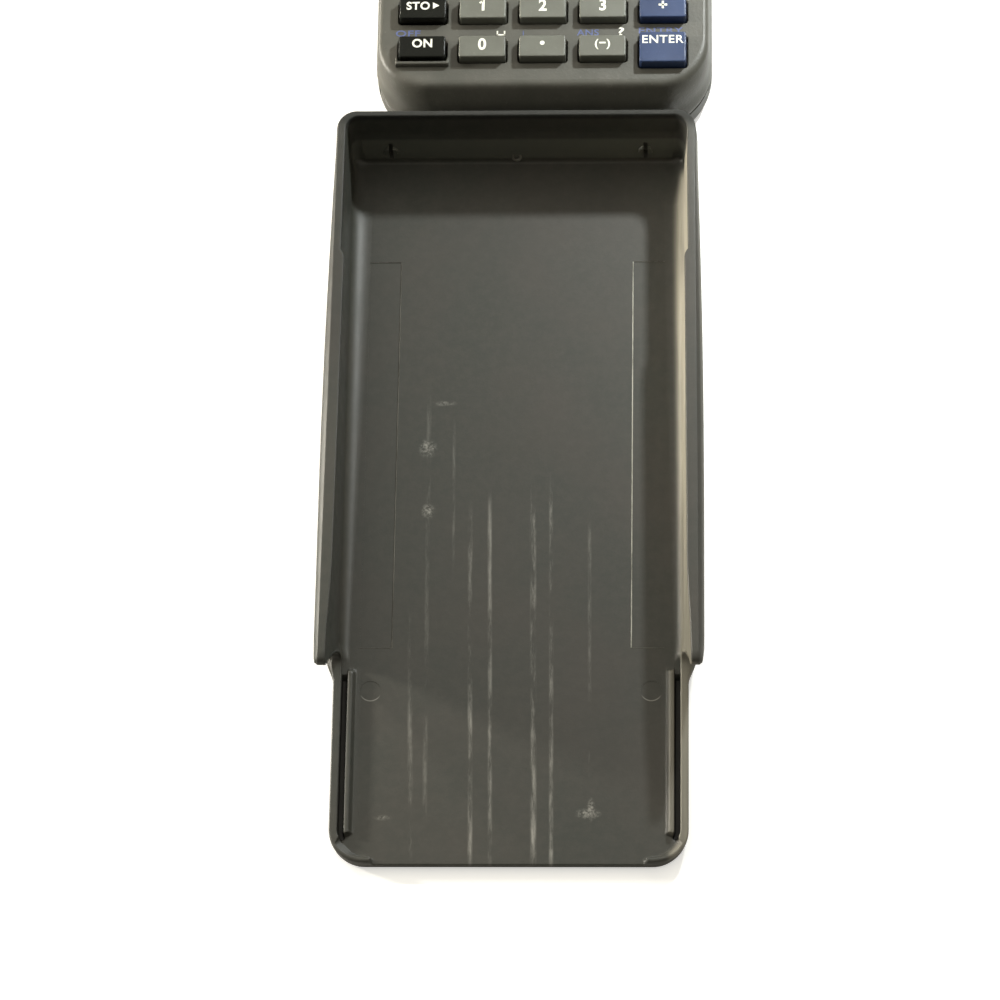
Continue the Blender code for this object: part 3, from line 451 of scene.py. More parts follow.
def cover_finish():
    """Dark grey-green plastic, satin, with rubbed streaks where the calculator has slid over the floor, and painted
    light and shade: a lit right inside wall, a paler band low on the closed end, shade on the rim and in the slots,
    and highlights on the ejector marks.
    """
    f = Finish("cover_plastic")
    drift = f.spread(f.noise(28, 5.0, 0.6), 0.3, 0.7)
    base = f.blend(drift, rgb(45, 48, 43), rgb(54, 52, 47))
    mottle = f.spread(f.noise(420, 6.0, 0.75), 0.35, 0.7)
    base = f.blend(f.product(mottle, 0.4), base, rgb(64, 62, 57))
    # Painted light: the right inside wall lightened where the low lamp falls on it.
    base = f.blend(painted_wall_light(f), base, rgb(176, 171, 155))
    # Painted light: a paler band low on the closed end's inside.
    base = f.blend(f.product(painted_end_light(f), 0.5), base, rgb(98, 100, 92))
    # Painted shade on the rim round the closed end and along the left side; the same mask roughens it.
    dark = painted_rim_shade(f)
    base = f.blend(f.product(dark, 0.85), base, rgb(10, 12, 9))
    # Painted shade in the deep slots.
    base = f.blend(painted_slot_shade(f), base, rgb(4, 4, 4))
    marks = (
        streak(f, -23.4, -22.0, -115, -180, 0.85, 1.3, 0.34),
        streak(f, -20.1, -19.0, -60, -170, 0.75, 2.1, 0.24),
        streak(f, -10.1, -8.6, -90, -181, 0.75, 3.7, 0.60),
        streak(f, -5.6, -4.1, -88, -181, 0.70, 4.9, 0.55),
        streak(f, 4.4, 5.6, -84, -182, 0.95, 5.3, 0.72),
        streak(f, 8.6, 9.6, -84, -182, 0.70, 6.1, 0.66),
        streak(f, 17.5, 18.1, -92, -160, 0.60, 7.7, 0.35),
        streak(f, -14.2, -13.6, -66, -110, 0.50, 8.2, 0.25),
        smudge(f, -20.1, -79.0, 2.6, 3.0, 0.4, 0.75),
        smudge(f, -19.7, -95.0, 2.0, 2.4, 1.4, 0.75),
        smudge(f, 17.8, -169.6, 3.6, 1.6, 2.4, 0.80),
        smudge(f, 18.4, -168.6, 1.2, 3.4, 3.4, 0.70),
        smudge(f, -16.4, -67.5, 3.4, 0.9, 4.4, 0.45),
        smudge(f, -28.4, -170.6, 2.4, 0.9, 5.4, 0.35),
        # Painted highlights on the lower edges of the two ejector marks.
        painted_arc_highlight(f, EJECTOR_X, EJECTOR_Y, 0.45),
        painted_arc_highlight(f, -EJECTOR_X, EJECTOR_Y, 0.40),
    )
    worn = marks[0]
    for mark in marks[1:]:
        worn = f.math("MAXIMUM", worn, mark)
    on_floor = f.product(f.fall("Z", 2.1, 2.4), f.rise("Z", 0.8, 1.2))
    worn = f.product(worn, on_floor)
    # Rubbed wear on the floor, together with the painted highlights of the ejector marks.
    base = f.blend(worn, base, rgb(172, 170, 163))
    rough = f.spread(f.noise(160, 5.0, 0.6), 0.3, 0.7, 0.47, 0.56, "LINEAR")
    rough = f.math("MULTIPLY_ADD", worn, 0.2, rough)
    rough = f.math("MULTIPLY_ADD", dark, 0.24, rough)
    fine = f.bump(f.noise(1300, 3.0, 0.6), 0.16, 0.0001)
    return f.set(Base_Color=base, Roughness=rough, Normal=fine, Specular_IOR_Level=0.55).material


def case_finish():
    """The case's grained plastic, with painted shade low on the chin, where it sits by the cover."""
    f = moulded("case_plastic", rgb(78, 77, 71), rgb(68, 68, 62), rgb(106, 104, 97), 0.46, 0.45, 1250)
    base = f.shader.inputs["Base Color"].links[0].from_socket
    # Painted shade darkening the chin low down.
    painted_chin_shade = f.product(f.fall("Z", 13.6, 17.3), f.fall("Y", 3.0, 17.0), 0.45)
    return f.set(Base_Color=f.blend(painted_chin_shade, base, rgb(26, 26, 23))).material


def patchy_seam(name, dark, light):
    """The raised line round an insert of the mould, broken by pale patches; in the bright copy on the right line they
    are a painted highlight.
    """
    f = Finish(name)
    worn = f.spread(f.noise(1.0, 5.0, 0.7, f.stretched((200, 60, 1))), 0.35, 0.6)
    return f.set(Base_Color=f.blend(worn, dark, light), Roughness=0.45).material


def ink(name, colour, worn):
    """Printed legends: a satin ink, thin in places."""
    f = Finish(name)
    thin = f.spread(f.noise(1600, 4.0, 0.7), 0.35, 0.65)
    return f.set(Base_Color=f.blend(thin, worn, colour), Roughness=f.spread(thin, 0, 1, 0.55, 0.4)).material


def brushed(name, colour, dark, rough):
    """Sheet steel with a fine one-way grain."""
    f = Finish(name)
    lines = f.noise(1.0, 4.0, 0.6, f.stretched((2600, 300, 2600)))
    f.set(
        Base_Color=f.blend(lines, dark, colour),
        Roughness=f.spread(lines, 0.3, 0.7, rough - 0.08, rough + 0.1),
        Normal=f.bump(lines, 0.12, 0.00005),
        Metallic=1.0,
    )
    return f.material


def rubber(name, colour, light):
    """Matt rubber with dust in its grain."""
    f = Finish(name)
    dust = f.spread(f.noise(350, 6.0, 0.7), 0.45, 0.75)
    f.set(
        Base_Color=f.blend(dust, colour, light),
        Roughness=f.spread(dust, 0, 1, 0.72, 0.85),
        Normal=f.bump(f.noise(1100, 4.0, 0.6), 0.25, 0.00015),
    )
    return f.material


def laminate():
    """Board laminate with copper tracks under green varnish, and black mouldings below it."""
    f = Finish("board_laminate")
    colours = {"Color1": rgb(16, 78, 44), "Color2": rgb(12, 66, 38), "Mortar": rgb(44, 118, 66)}
    rows = f.node("TexBrick", {"Vector": f.place, "Scale": 420.0, "Mortar Size": 0.05, **colours})
    drift = f.spread(f.noise(120, 4.0), 0.3, 0.7)
    varnish = f.blend(f.product(drift, 0.4), rows.outputs["Color"], rgb(10, 58, 34))
    f.set(
        Base_Color=f.blend(f.fall("Z", 12.95, 13.05), varnish, rgb(24, 24, 25)),
        Roughness=f.spread(f.noise(300, 3.0), 0.3, 0.7, 0.3, 0.45),
        Normal=f.bump(rows.outputs["Fac"], 0.3, 0.00005),
    )
    return f.material


def jacket():
    """Cell jackets: dark film with a slight sheen."""
    f = Finish("cell_jacket")
    sheen = f.noise(1.0, 3.0, 0.5, f.stretched((900, 60, 900)))
    f.set(
        Base_Color=f.blend(sheen, rgb(34, 36, 40), rgb(52, 54, 60)),
        Roughness=f.spread(sheen, 0.3, 0.7, 0.24, 0.36),
        Normal=f.bump(f.noise(800, 2.0), 0.06, 0.00005),
        Metallic=0.35,
    )
    return f.material


def display_glass():
    """The display at rest: grey-green with a faint grid of dots."""
    f = Finish("lcd_glass")
    dots_per_metre = 1 / 0.00056

    def gap(axis):
        place = f.math("FRACT", f.product(f.axis(axis), dots_per_metre))
        return f.spread(f.math("ABSOLUTE", f.math("SUBTRACT", place, 0.5)), 0.38, 0.46)

    gaps = f.math("MAXIMUM", gap("X"), gap("Y"))
    drift = f.spread(f.noise(60, 3.0), 0.3, 0.7)
    base = f.blend(drift, rgb(128, 138, 116), rgb(138, 147, 124))
    f.set(
        Base_Color=f.blend(f.product(gaps, 0.35), base, rgb(148, 156, 134)),
        Roughness=f.spread(f.noise(500, 2.0), 0.3, 0.7, 0.18, 0.26),
    )
    return f.material


def clear_pane():
    """The window: clear plastic with fine wipe marks."""
    f = Finish("window_plastic")
    wipes = f.noise(1.0, 6.0, 0.7, f.stretched((1500, 120, 1)))
    f.set(
        Base_Color=f.blend(wipes, rgb(236, 240, 236), rgb(246, 248, 246)),
        Roughness=f.spread(wipes, 0.5, 0.8, 0.03, 0.14),
        Normal=f.bump(f.noise(60, 2.0), 0.02, 0.0002),
        Transmission_Weight=1.0,
        IOR=1.49,
    )
    return f.material


def plain(name, colour, dark, light, rough, grain, specular=0.5):
    """A moulded finish with nothing added."""
    return moulded(name, rgb(*colour), rgb(*dark), rgb(*light), rough, grain, specular=specular).material


COVER_PLASTIC = cover_finish()
# Painted highlight: a lit, paler copy of the seam finish for the right line.
SEAM_PAINTED_HIGHLIGHT = patchy_seam("seam_painted_highlight", rgb(98, 98, 90), rgb(176, 175, 166))
FAINT_SEAM = patchy_seam("faint_seam", rgb(58, 56, 50), rgb(98, 97, 90))
CASE_PLASTIC = case_finish()
PALE_KEYS = plain("pale_key_plastic", (93, 95, 88), (86, 87, 80), (108, 108, 100), 0.42, 0.2)
DARK_KEYS = plain("dark_key_plastic", (17, 19, 16), (14, 16, 13), (30, 31, 28), 0.24, 0.08, 0.2)
BLUE_KEYS = plain("blue_key_plastic", (46, 62, 96), (40, 54, 85), (62, 77, 109), 0.30, 0.1)
BORDER_PRINT = plain("border_print", (46, 47, 44), (38, 39, 37), (62, 62, 58), 0.35, 0.1)
WHITE_INK = ink("white_ink", rgb(232, 232, 222), rgb(212, 212, 200))
BLUE_INK = ink("blue_ink", rgb(84, 95, 138), rgb(74, 84, 122))
STEEL = brushed("case_screw_steel", rgb(176, 176, 172), rgb(120, 120, 118), 0.32)
CONTACT_METAL = brushed("contact_plating", rgb(205, 203, 194), rgb(160, 158, 150), 0.28)
COIN_STEEL = brushed("coin_steel", rgb(200, 200, 198), rgb(160, 160, 158), 0.25)
FOOT_RUBBER = rubber("foot_rubber", rgb(34, 34, 33), rgb(58, 57, 54))
MAT_RUBBER = rubber("mat_rubber", rgb(150, 150, 146), rgb(170, 169, 164))
BOARD = laminate()
CELL_JACKET = jacket()
LCD_GLASS = display_glass()
CLEAR_PANE = clear_pane()


# ---------------------------------------------------------------- slide cover


# The side wall's edge from its full height, round its overhanging end and down to the low rim: y and z,
# and the y on the floor that each point belongs to.
WALL_EDGE = (
    (-118.0, 20.7, -118.0),
    (-130.0, 20.7, -123.5),
    (-136.4, 20.7, -125.8),
    (-138.4, 20.64, -126.8),
    (-139.7, 20.25, -127.4),
    (-140.35, 19.4, -127.8),
    (-140.3, 18.4, -128.2),
    (-139.3, 17.0, -128.7),
    (-137.4, 15.1, -129.3),
    (-134.9, 12.0, -130.1),
    (-133.3, 8.8, -130.9),
    (-132.5, 6.2, -131.7),
    (-132.55, 4.7, -132.5),
    (-133.3, 3.85, -133.4),
    (-134.6, 3.5, -134.6),
    (-136.6, 3.4, -136.6),
    (-140.0, 3.4, -140.0),
)
LAST_EDGE = len(WALL_EDGE) - 1
WALL_END_STEPS = 72
LOW_PART = -140
GRIP_MIDDLE = 12.0
GRIP_HALF_HEIGHT = 8.35
GRIP_INSET = -2.45


def wall_edge_at(place):
    """The wall's edge at a place along its list: y, z and floor y."""
    numbered = [[(number, point[k]) for number, point in enumerate(WALL_EDGE)] for k in range(3)]
    return [smooth_curve(knots, place) for knots in numbered]


WALL_END = [wall_edge_at(place / 6)[:2] for place in range(12, 6 * LAST_EDGE + 1)]


def edge_distance(y, z):
    """How far a point of the side wall is from the wall's curved end."""
    best = 1e9
    for (y0, z0), (y1, z1) in zip(WALL_END, WALL_END[1:]):
        dy, dz = y1 - y0, z1 - z0
        t = min(max(((y - y0) * dy + (z - z0) * dz) / (dy * dy + dz * dz), 0), 1)
        best = min(best, math.hypot(y - y0 - dy * t, z - z0 - dz * t))
    return best


def station(kind, at, out, **edge):
    """A place where the cover's section is drawn.

    It holds the outline's point there, its outward direction and y, and on the wall's end the edge's y and z and
    the direction square to it.
    """
    return dict(kind=kind, at=Vector(at), out=Vector(out), y=at[1], **edge)


def wall_end_station(step):
    """A station on the side wall's curved end, counted from the low rim up."""
    place = LAST_EDGE * (1 - step / WALL_END_STEPS)
    edge_y, edge_z, floor_y = wall_edge_at(place)
    after_y, after_z, _ = wall_edge_at(min(place + 0.05, LAST_EDGE))
    before_y, before_z, _ = wall_edge_at(max(place - 0.05, 0))
    along = Vector((after_y - before_y, after_z - before_z)).normalized()
    normal = Vector((along.y, -along.x))
    return station("side", (COVER_HALF, floor_y), (1, 0), edge=(edge_y, edge_z), normal=normal)


def cover_stations():
    """The stations from the middle of the open end round to the middle of the closed end."""
    stations = []
    for x in (0, 12, 24, 28, 29.6, 30.2, 30.5, 30.8, 31.1, 31.5):
        stations.append(station("open", (x, -COVER_LENGTH), (0, -1)))
    centre = Vector((COVER_HALF - 1.1 - OPEN_CORNER, 0.15 - COVER_LENGTH + OPEN_CORNER))
    reach = (COVER_HALF - centre.x, centre.y + COVER_LENGTH)
    for step in range(25):
        angle = math.radians(-90 + 90 * step / 24)
        out = Vector((math.cos(angle), math.sin(angle)))
        at = centre + Vector((out.x * reach[0], out.y * reach[1]))
        stations.append(station("open_corner", at, out))
    for y in [-173.0, -172.0, -170.0] + [-168 + 2 * n for n in range(14)]:
        stations.append(station("side", (COVER_HALF, y), (1, 0)))
    stations += [wall_end_station(step) for step in range(WALL_END_STEPS + 1)]
    run = [-116 + 4 * n for n in range(18)]
    run += [-45, -42.5, -41, -40, -39.3, -38.7, -38.2, -37.7, -37.2, -36.6, -35.8, -34]
    run += [-31 + 2.5 * n for n in range(9)] + [-9.2]
    for y in run:
        stations.append(station("side", (COVER_HALF, y), (1, 0)))
    centre = Vector((COVER_HALF - CLOSED_CORNER, -CLOSED_CORNER))
    for step in range(17):
        angle = math.radians(90 * step / 16)
        out = Vector((math.cos(angle), math.sin(angle)))
        stations.append(station("closed_corner", centre + out * CLOSED_CORNER, out))
    for x in (32.4, 31, 29.5, 28, 24, 18, 12, 6, 0):
        stations.append(station("closed", (x, 0.0), (0, 1)))
    return stations


# How far the walls' faces lie inside the outline, by height: (z, inset).
SIDE_OUTER = ((0.0, 2.1), (1.8, 1.2), (3.4, 1.1), (6.5, 0.0), (10.35, -0.95), (15.0, -0.95), (20.7, -0.55))
END_OUTER = ((0.0, 2.1), (1.8, 1.2), (3.4, 0.7), (7.0, 0.2), (10.35, 0.03), (20.7, 0.03))
OPEN_OUTER = ((0.0, 0.05), (1.6, 0.05), (3.4, 0.15), (20.7, 0.2))
SIDE_INNER = ((2.0, 2.5), (5.0, 2.2), (10.35, 2.0), (20.7, 1.5))
END_INNER = ((2.0, 3.75), (3.95, 3.55), (8.0, 2.9), (10.9, 2.35), (11.8, 2.0), (12.8, 1.8), (20.7, 1.5))

# The slot and the rib beside the low rim, from the rim's foot inwards: (inset, z).
SLOT_CHAIN = (
    (3.02, 1.0), (3.06, 0.8), (3.2, 0.7), (3.6, 0.7), (4.0, 0.7), (4.22, 0.8), (4.32, 1.0), (4.36, 1.9),
    (4.4, 3.0), (4.5, 3.28), (4.72, 3.4), (5.12, 3.44), (5.42, 3.38), (5.62, 3.15), (5.82, 2.8), (6.02, 2.42),
    (6.22, 2.14), (6.42, 2.03), (6.9, 2.0),
)
SLOT_POINTS = 8
FILLET_STEPS = 10
WEB_STEPS = 6
UNDER_STEPS = 5
OUTSIDE_STEPS = 44
RIM_STEPS = 4
RAIL_SHARES = (0.05, 0.10, 0.135, 0.165, 0.19)
INSIDE_STEPS = 13
BOTTOM_ROUND = 1.6
LOW_RIM_INSIDE = 3.0


def flare(y, z):
    """The side walls lean out a little more towards the open end."""
    return min(abs(y), 142) / 140.4 * ease(5.0, 20.7, z) if y < 0 else 0.0


def grip_share(y, z):
    """How far the ribbed grip has come out of the side wall, from 0 to 1."""
    along = min(max((-y - 8) / 92, 0), 1)
    swell = math.sin(along * math.pi / 2)
    share = (z - GRIP_MIDDLE) / GRIP_HALF_HEIGHT
    if swell <= 0 or abs(share) >= 1:
        return 0.0
    height = (1 - abs(share) ** 7) ** 0.6
    ridges = 0.10 * (math.cos(share * math.pi * 7) - 1)
    near = min(edge_distance(y, z) / 3.2, 1) if y < -110 else 1
    end_round = math.sqrt(1 - (1 - near) ** 2)
    return swell * height * (1 + ridges) * end_round


def foot_swell(y, z):
    """Below the wall's overhanging end the outside runs out in a soft foot."""
    along = ease(-138.5, -132.5, y) * (1 - ease(-131.0, -122.0, y))
    return 1.7 * along * ease(-0.6, 1.2, z) * (1 - ease(2.4, 4.6, z))


def rail_depth(y):
    """The rail along the inside of the rim, which runs in the case's groove."""
    start = 0.8 * math.sqrt(max(0.0, 1 - (1 - min(max((-37.0 - y) / 1.9, 0), 1)) ** 2))
    return start * ease(-138.5, -114.0, y)


class Section:
    """The cover's section at one station, from under the floor, over the rim and down to the floor inside.

    Shares from 0 to 1 say how far it is like other parts: web at the open end, flat in the middle of that end, low
    rim, slot, rib, and the wide fillet of the side walls.
    """

    def __init__(self, made):
        self.kind, self.at, self.out, self.y = made["kind"], made["at"], made["out"], made["y"]
        y = self.y
        edge_y, edge_z = made.get("edge", (y, COVER_DEPTH))
        self.normal = made.get("normal", Vector((0, 1)))
        low = "edge" in made or y <= LOW_PART
        if low and "edge" not in made:
            edge_z = LOW_RIM
        self.side = abs(self.out.x)
        self.web = self.flat = self.opening = 0.0
        self.bevel = 1.35
        if self.kind == "open":
            self.web = self.opening = 1.0
            self.flat = 1 - ease(30.35, 31.0, self.at.x)
            edge_z = between(LOW_RIM, COVER_FLOOR, self.flat)
            self.bevel = between(0.3, 0.75, ease(30.4, 32.2, self.at.x))
        elif self.kind == "open_corner":
            self.web = ease(-176.7, -178.1, y)
            self.side = self.side * self.side
            self.opening = 1 - self.side
            self.bevel = between(0.75, 1.35, ease(0.0, 0.35, self.side))
        self.slotted = ease(-135.9, -136.7, y) if low else 0.0
        self.ribbed = ease(-134.4, -135.7, y) * (1 - ease(-175.6, -177.4, y)) if low else 0.0
        self.low = ease(-128.6, -133.6, y) if low else 0.0
        self.wide = ease(-7.0, -17.0, y) if self.kind == "side" else 0.0
        self.edge = Vector((edge_y, edge_z))
        self.rim_outside = self.outer_inset(edge_y, edge_z)
        self.rail = rail_depth(edge_y) * self.side * ease(19.4, 20.6, edge_z)
        rim_inside = between(self.inner_inset(edge_y, edge_z) + self.rail, LOW_RIM_INSIDE, self.low)
        low_width = between(0.75, 1.15, self.opening)
        self.rim_inside = between(rim_inside, self.rim_outside + low_width, self.web)
        base_z = min(between(3.95, 5.0, self.wide), edge_z - 0.55)
        base_in = between(self.inner_inset(y, base_z), LOW_RIM_INSIDE, self.low)
        self.base_in = between(base_in, self.rim_inside + self.bevel, self.web)
        base_z = between(base_z, 1.1, self.slotted)
        base_z = between(base_z, 2.2, self.web)
        self.base_z = between(base_z, 2.0, self.flat)

    def outer_inset(self, y, z):
        base = between(smooth_curve(END_OUTER, z), smooth_curve(SIDE_OUTER, z), self.side)
        base = between(base, smooth_curve(OPEN_OUTER, z), self.opening)
        base -= flare(y, z) * self.side
        base = between(base, GRIP_INSET, grip_share(y, z) * self.side)
        return base - foot_swell(y, z) * self.side

    def inner_inset(self, y, z):
        base = between(smooth_curve(END_INNER, z), smooth_curve(SIDE_INNER, z), self.side)
        return base - flare(y, z) * self.side

    def put(self, inset, y, z):
        if self.kind == "side":
            return Vector((COVER_HALF - inset, y, z))
        if self.kind == "closed_corner":
            radius = max(CLOSED_CORNER - inset, 1.6)
            middle = Vector((COVER_HALF - inset - radius, -inset - radius))
            spot = middle + self.out * radius
        else:
            spot = self.at - self.out * inset
        return Vector((spot.x, spot.y, z))

    def outside(self):
        """From under the floor up the outside and over the outer half of the rim."""
        points = []
        low_out = self.outer_inset(self.y, BOTTOM_ROUND)
        for number in range(UNDER_STEPS + 1):
            angle = math.radians(90 * number / UNDER_STEPS)
            inset = low_out + between(1.0, 0.35, self.opening) * (1 - math.sin(angle))
            points.append(self.put(inset, self.y, BOTTOM_ROUND * (1 - math.cos(angle))))
        radius = between(min(0.45, 0.35 + 0.1 * (1 - self.low)), 0.7, self.opening * (1 - self.flat))
        start = Vector((self.y, BOTTOM_ROUND))
        top = self.edge - self.normal * radius
        for number in range(1, OUTSIDE_STEPS + 1):
            spot = start.lerp(top, number / OUTSIDE_STEPS)
            points.append(self.put(self.outer_inset(spot.x, spot.y), spot.x, spot.y))
        for number in range(1, RIM_STEPS + 1):
            angle = math.radians(90 * number / RIM_STEPS)
            spot = top + self.normal * radius * math.sin(angle)
            points.append(self.put(self.rim_outside + radius * (1 - math.cos(angle)), spot.x, spot.y))
        return points

    def inside(self):
        """From the inner half of the rim down past the rail to the foot of the wall."""
        points = []
        radius = between(0.4, 0.25, self.web)
        top = self.edge - self.normal * radius * (1 - self.flat)
        for number in range(RIM_STEPS + 1):
            angle = math.radians(90 * (1 - number / RIM_STEPS))
            spot = top + self.normal * radius * (1 - self.flat) * math.sin(angle)
            points.append(self.put(self.rim_inside - radius * (1 - math.cos(angle)), spot.x, spot.y))
        foot = Vector((self.y, self.base_z))
        last = RAIL_SHARES[-1]
        below = tuple(between(last, 1.0, (n + 1) / INSIDE_STEPS) for n in range(INSIDE_STEPS))
        for share in RAIL_SHARES + below:
            spot = top.lerp(foot, share)
            wall = self.inner_inset(spot.x, spot.y)
            if self.rail:
                wall += self.rail * (1 - ease(0.9, 1.7, COVER_DEPTH - spot.y))
            straight = between(self.rim_inside, self.base_in, share)
            points.append(self.put(between(wall, straight, max(self.low, self.web)), spot.x, spot.y))
        return points

    def floor_corner(self):
        """The fillet between wall and floor, which turns into the slot and rib, and into the web."""
        points = []
        wide_in = 6.6 - 0.0243 * (min(max(-self.y, 30), 125) - 42)
        fillet_in = between(between(4.4, 4.95, self.side), wide_in, self.wide)
        last_in = between(6.9, 7.6, self.wide)
        base_in, drop = self.base_in, self.base_z - COVER_FLOOR
        last = len(SLOT_CHAIN) - 1
        for number, (slot_in, slot_z) in enumerate(SLOT_CHAIN):
            if number < FILLET_STEPS:
                angle = math.radians(90 * (number + 1) / FILLET_STEPS)
                inset = base_in + (fillet_in - base_in) * (1 - math.cos(angle))
                z = COVER_FLOOR + drop * (1 - math.sin(angle))
            else:
                inset = between(fillet_in, last_in, (number - FILLET_STEPS + 1) / (last - FILLET_STEPS + 1))
                slot_in = last_in if number == last else slot_in
                z = COVER_FLOOR
            in_slot = number < SLOT_POINTS
            weight = self.slotted if in_slot else self.ribbed
            if in_slot:
                z = between(z, COVER_FLOOR, self.low)
            inset = between(inset, slot_in, max(weight, self.low))
            z = between(z, slot_z, weight)
            if number < WEB_STEPS:
                angle = math.radians(90 * (number + 1) / WEB_STEPS)
                web_in = base_in + 0.3 * (1 - math.cos(angle))
                web_z = COVER_FLOOR + drop * (1 - math.sin(angle))
            else:
                web_in = between(base_in + 0.3, last_in, (number - WEB_STEPS + 1) / (last - WEB_STEPS + 1))
                web_z = COVER_FLOOR
            points.append(self.put(between(inset, web_in, self.web), self.y, between(z, web_z, self.web)))
        return points

    def points(self):
        return self.outside() + self.inside() + self.floor_corner()


def cover_wall():
    """The cover's outside, rim, inside walls, slots and ribs as one sheet of squares, half of it, then mirrored."""
    sections = [Section(made).points() for made in cover_stations()]
    bm = sheet_over(len(sections) - 1, len(sections[0]) - 1, lambda column, row: sections[column][row])
    bmesh.ops.mirror(bm, geom=bm.verts[:] + bm.edges[:] + bm.faces[:], axis="X", merge_dist=0.002)
    return close_ends(bm)


def cover_marks():
    """Shallow cuts in the cover: ejector marks and inserts on the floor, and two slits in the closed end."""
    cuts = []
    for side in (-1, 1):
        ejector = (side * EJECTOR_X, EJECTOR_Y)
        cuts.append(disc(ejector, EJECTOR_RADIUS, COVER_FLOOR - 0.07, COVER_FLOOR + 1, 0.0, 64))
        cuts.append(block((side * BOSS_X - 0.48, -5.3, 3.4), (side * BOSS_X + 0.48, -1.6, 9.2), 0.1))
        low, high = sorted((side * INSERT_IN, side * INSERT_OUT))
        cuts.append(block((low, INSERT_FAR, COVER_FLOOR - 0.1), (high, INSERT_NEAR, COVER_FLOOR + 0.5)))
    return together(*cuts)


def end_bosses():
    """Two round bosses and a small gate ring on the inside of the closed end."""
    lying = Matrix.Rotation(math.pi / 2, 4, "X")
    boss = [(0, -1.2), (1.75, -1.2), (1.75, 0.4), (1.55, 0.6), (0, 0.6)]
    ring = [(0.6, -1.2), (1.25, -1.2), (1.25, 0.2), (1.1, 0.35), (0.75, 0.35), (0.6, 0.2), (0.6, -1.2)]
    leaning = Matrix.Rotation(math.radians(60), 4, "X")
    parts = [turned(boss, Matrix.Translation((side * BOSS_X, -3.0, 6.3)) @ lying, 32) for side in (-1, 1)]
    return together(*parts), turned(ring, Matrix.Translation((-0.4, -3.5, 4.0)) @ leaning, 32)


def seam(low, high, top, edge):
    """A raised line on the cover's floor, between two corners in plan."""
    return block((*low, 1.85), (*high, top), edge, 1)


def make_cover():
    """The cover with its gate ring, and the lines round the two inserts of its mould."""
    bosses, gate_ring = end_bosses()
    body = carve(cover_wall(), [("UNION", bosses), ("DIFFERENCE", cover_marks())])
    finished("cover_gate_ring", gate_ring, "cover", FAINT_SEAM, COVER_PLACE)
    finished("cover_tray", body, "cover", COVER_PLASTIC, COVER_PLACE, ["slide_cover"], 40)
    # The right line carries the painted highlight; the other lines keep the fainter seam finish.
    right = seam((INSERT_IN - 0.13, INSERT_FAR), (INSERT_IN + 0.13, INSERT_NEAR), 2.07, 0.05)
    finished("cover_right_seam", right, "cover", SEAM_PAINTED_HIGHLIGHT, COVER_PLACE)
    seams = [seam((-INSERT_IN - 0.10, INSERT_FAR), (-INSERT_IN + 0.10, INSERT_NEAR), 2.05, 0.04)]
    for side in (-1, 1):
        low, high = sorted((side * INSERT_IN, side * (INSERT_OUT + 0.2)))
        for y in (INSERT_FAR, INSERT_NEAR):
            seams.append(seam((low, y - 0.06), (high, y + 0.06), 2.04, 0.03))
    finished("cover_faint_seams", together(*seams), "cover", FAINT_SEAM, COVER_PLACE)


# ---------------------------------------------------------------- keys


def key_plan():
    """Every key as name, middle x and y, width, length and finish."""
    names = (
        ("on", "zero", "point", "negate", "enter"),
        ("store", "one", "two", "three", "add"),
        ("ln", "four", "five", "six", "subtract"),
        ("log", "seven", "eight", "nine", "multiply"),
        ("square", "comma", "bracket_open", "bracket_close", "divide"),
        ("inverse", "sine", "cosine", "tangent", "power"),
        ("math", "list", "program", "variables", "clear"),
        ("alpha", "graph_variable", "statistics"),
        ("second", "mode", "delete"),
    )
    pale = ("zero", "point", "negate", "one", "two", "three", "four", "five", "six", "seven", "eight", "nine")
    blue = ("enter", "add", "subtract", "multiply", "divide", "second")
    plan = []
    for row, row_names in enumerate(names):
        for column, name in enumerate(row_names):
            finish = "pale" if name in pale else "blue" if name in blue else "dark"
            x = (column - 2) * KEY_PITCH_X
            y = FIRST_ROW + row * KEY_PITCH_Y
            length = KEY_LENGTH
            if name == "enter":
                y -= 0.4
                length = ENTER_LENGTH
            plan.append((name, x, y, KEY_WIDTH, length, finish))
    for column in range(5):
        x = (column - 2) * KEY_PITCH_X
        plan.append((f"function_{column + 1}", x, FUNCTION_ROW, KEY_WIDTH, SMALL_KEY_LENGTH, "dark"))
    x = 1.5 * KEY_PITCH_X
    y = LAST_ROW - KEY_PITCH_Y / 2
    for name, arrow_y in (("up", y + 7.5), ("down", y - 7.5)):
        plan.append((name, x, arrow_y, KEY_WIDTH, SMALL_KEY_LENGTH, "dark"))
    for name, arrow_x in (("left", x - 10.2), ("right", x + 10.2)):
        plan.append((name, arrow_x, y, 6.0, 7.2, "dark"))
    return plan


def key_outline(x, y, width, length, grow, radius, z, steps):
    """A key's outline at its place on the face, grown all round."""
    points = outline(width / 2 + grow, -length / 2 - grow, length / 2 + grow, radius, radius, z, steps)
    return [point + Vector((x, y, 0)) for point in points]


def key_cap(x, y, width, length):
    """A key cap: upright sides with rounded corners, a rounded upper edge and a slightly dished top."""
    levels = [(18.0, 0.0), (KEY_TOP - KEY_ROUND, 0.06)]
    for step in range(1, 6):
        angle = math.radians(90 * step / 5)
        levels.append((KEY_TOP - KEY_ROUND * (1 - math.sin(angle)), 0.06 + 0.32 * (1 - math.cos(angle))))
    levels += [(KEY_TOP - 0.01, 0.9), (KEY_TOP - 0.025, 1.6), (KEY_TOP - 0.035, 2.3)]
    outlines = []
    for z, inset in levels:
        outlines.append(key_outline(x, y, width, length, -inset, max(0.6 - inset * 0.5, 0.12), z, 5))
    return stacked(outlines)


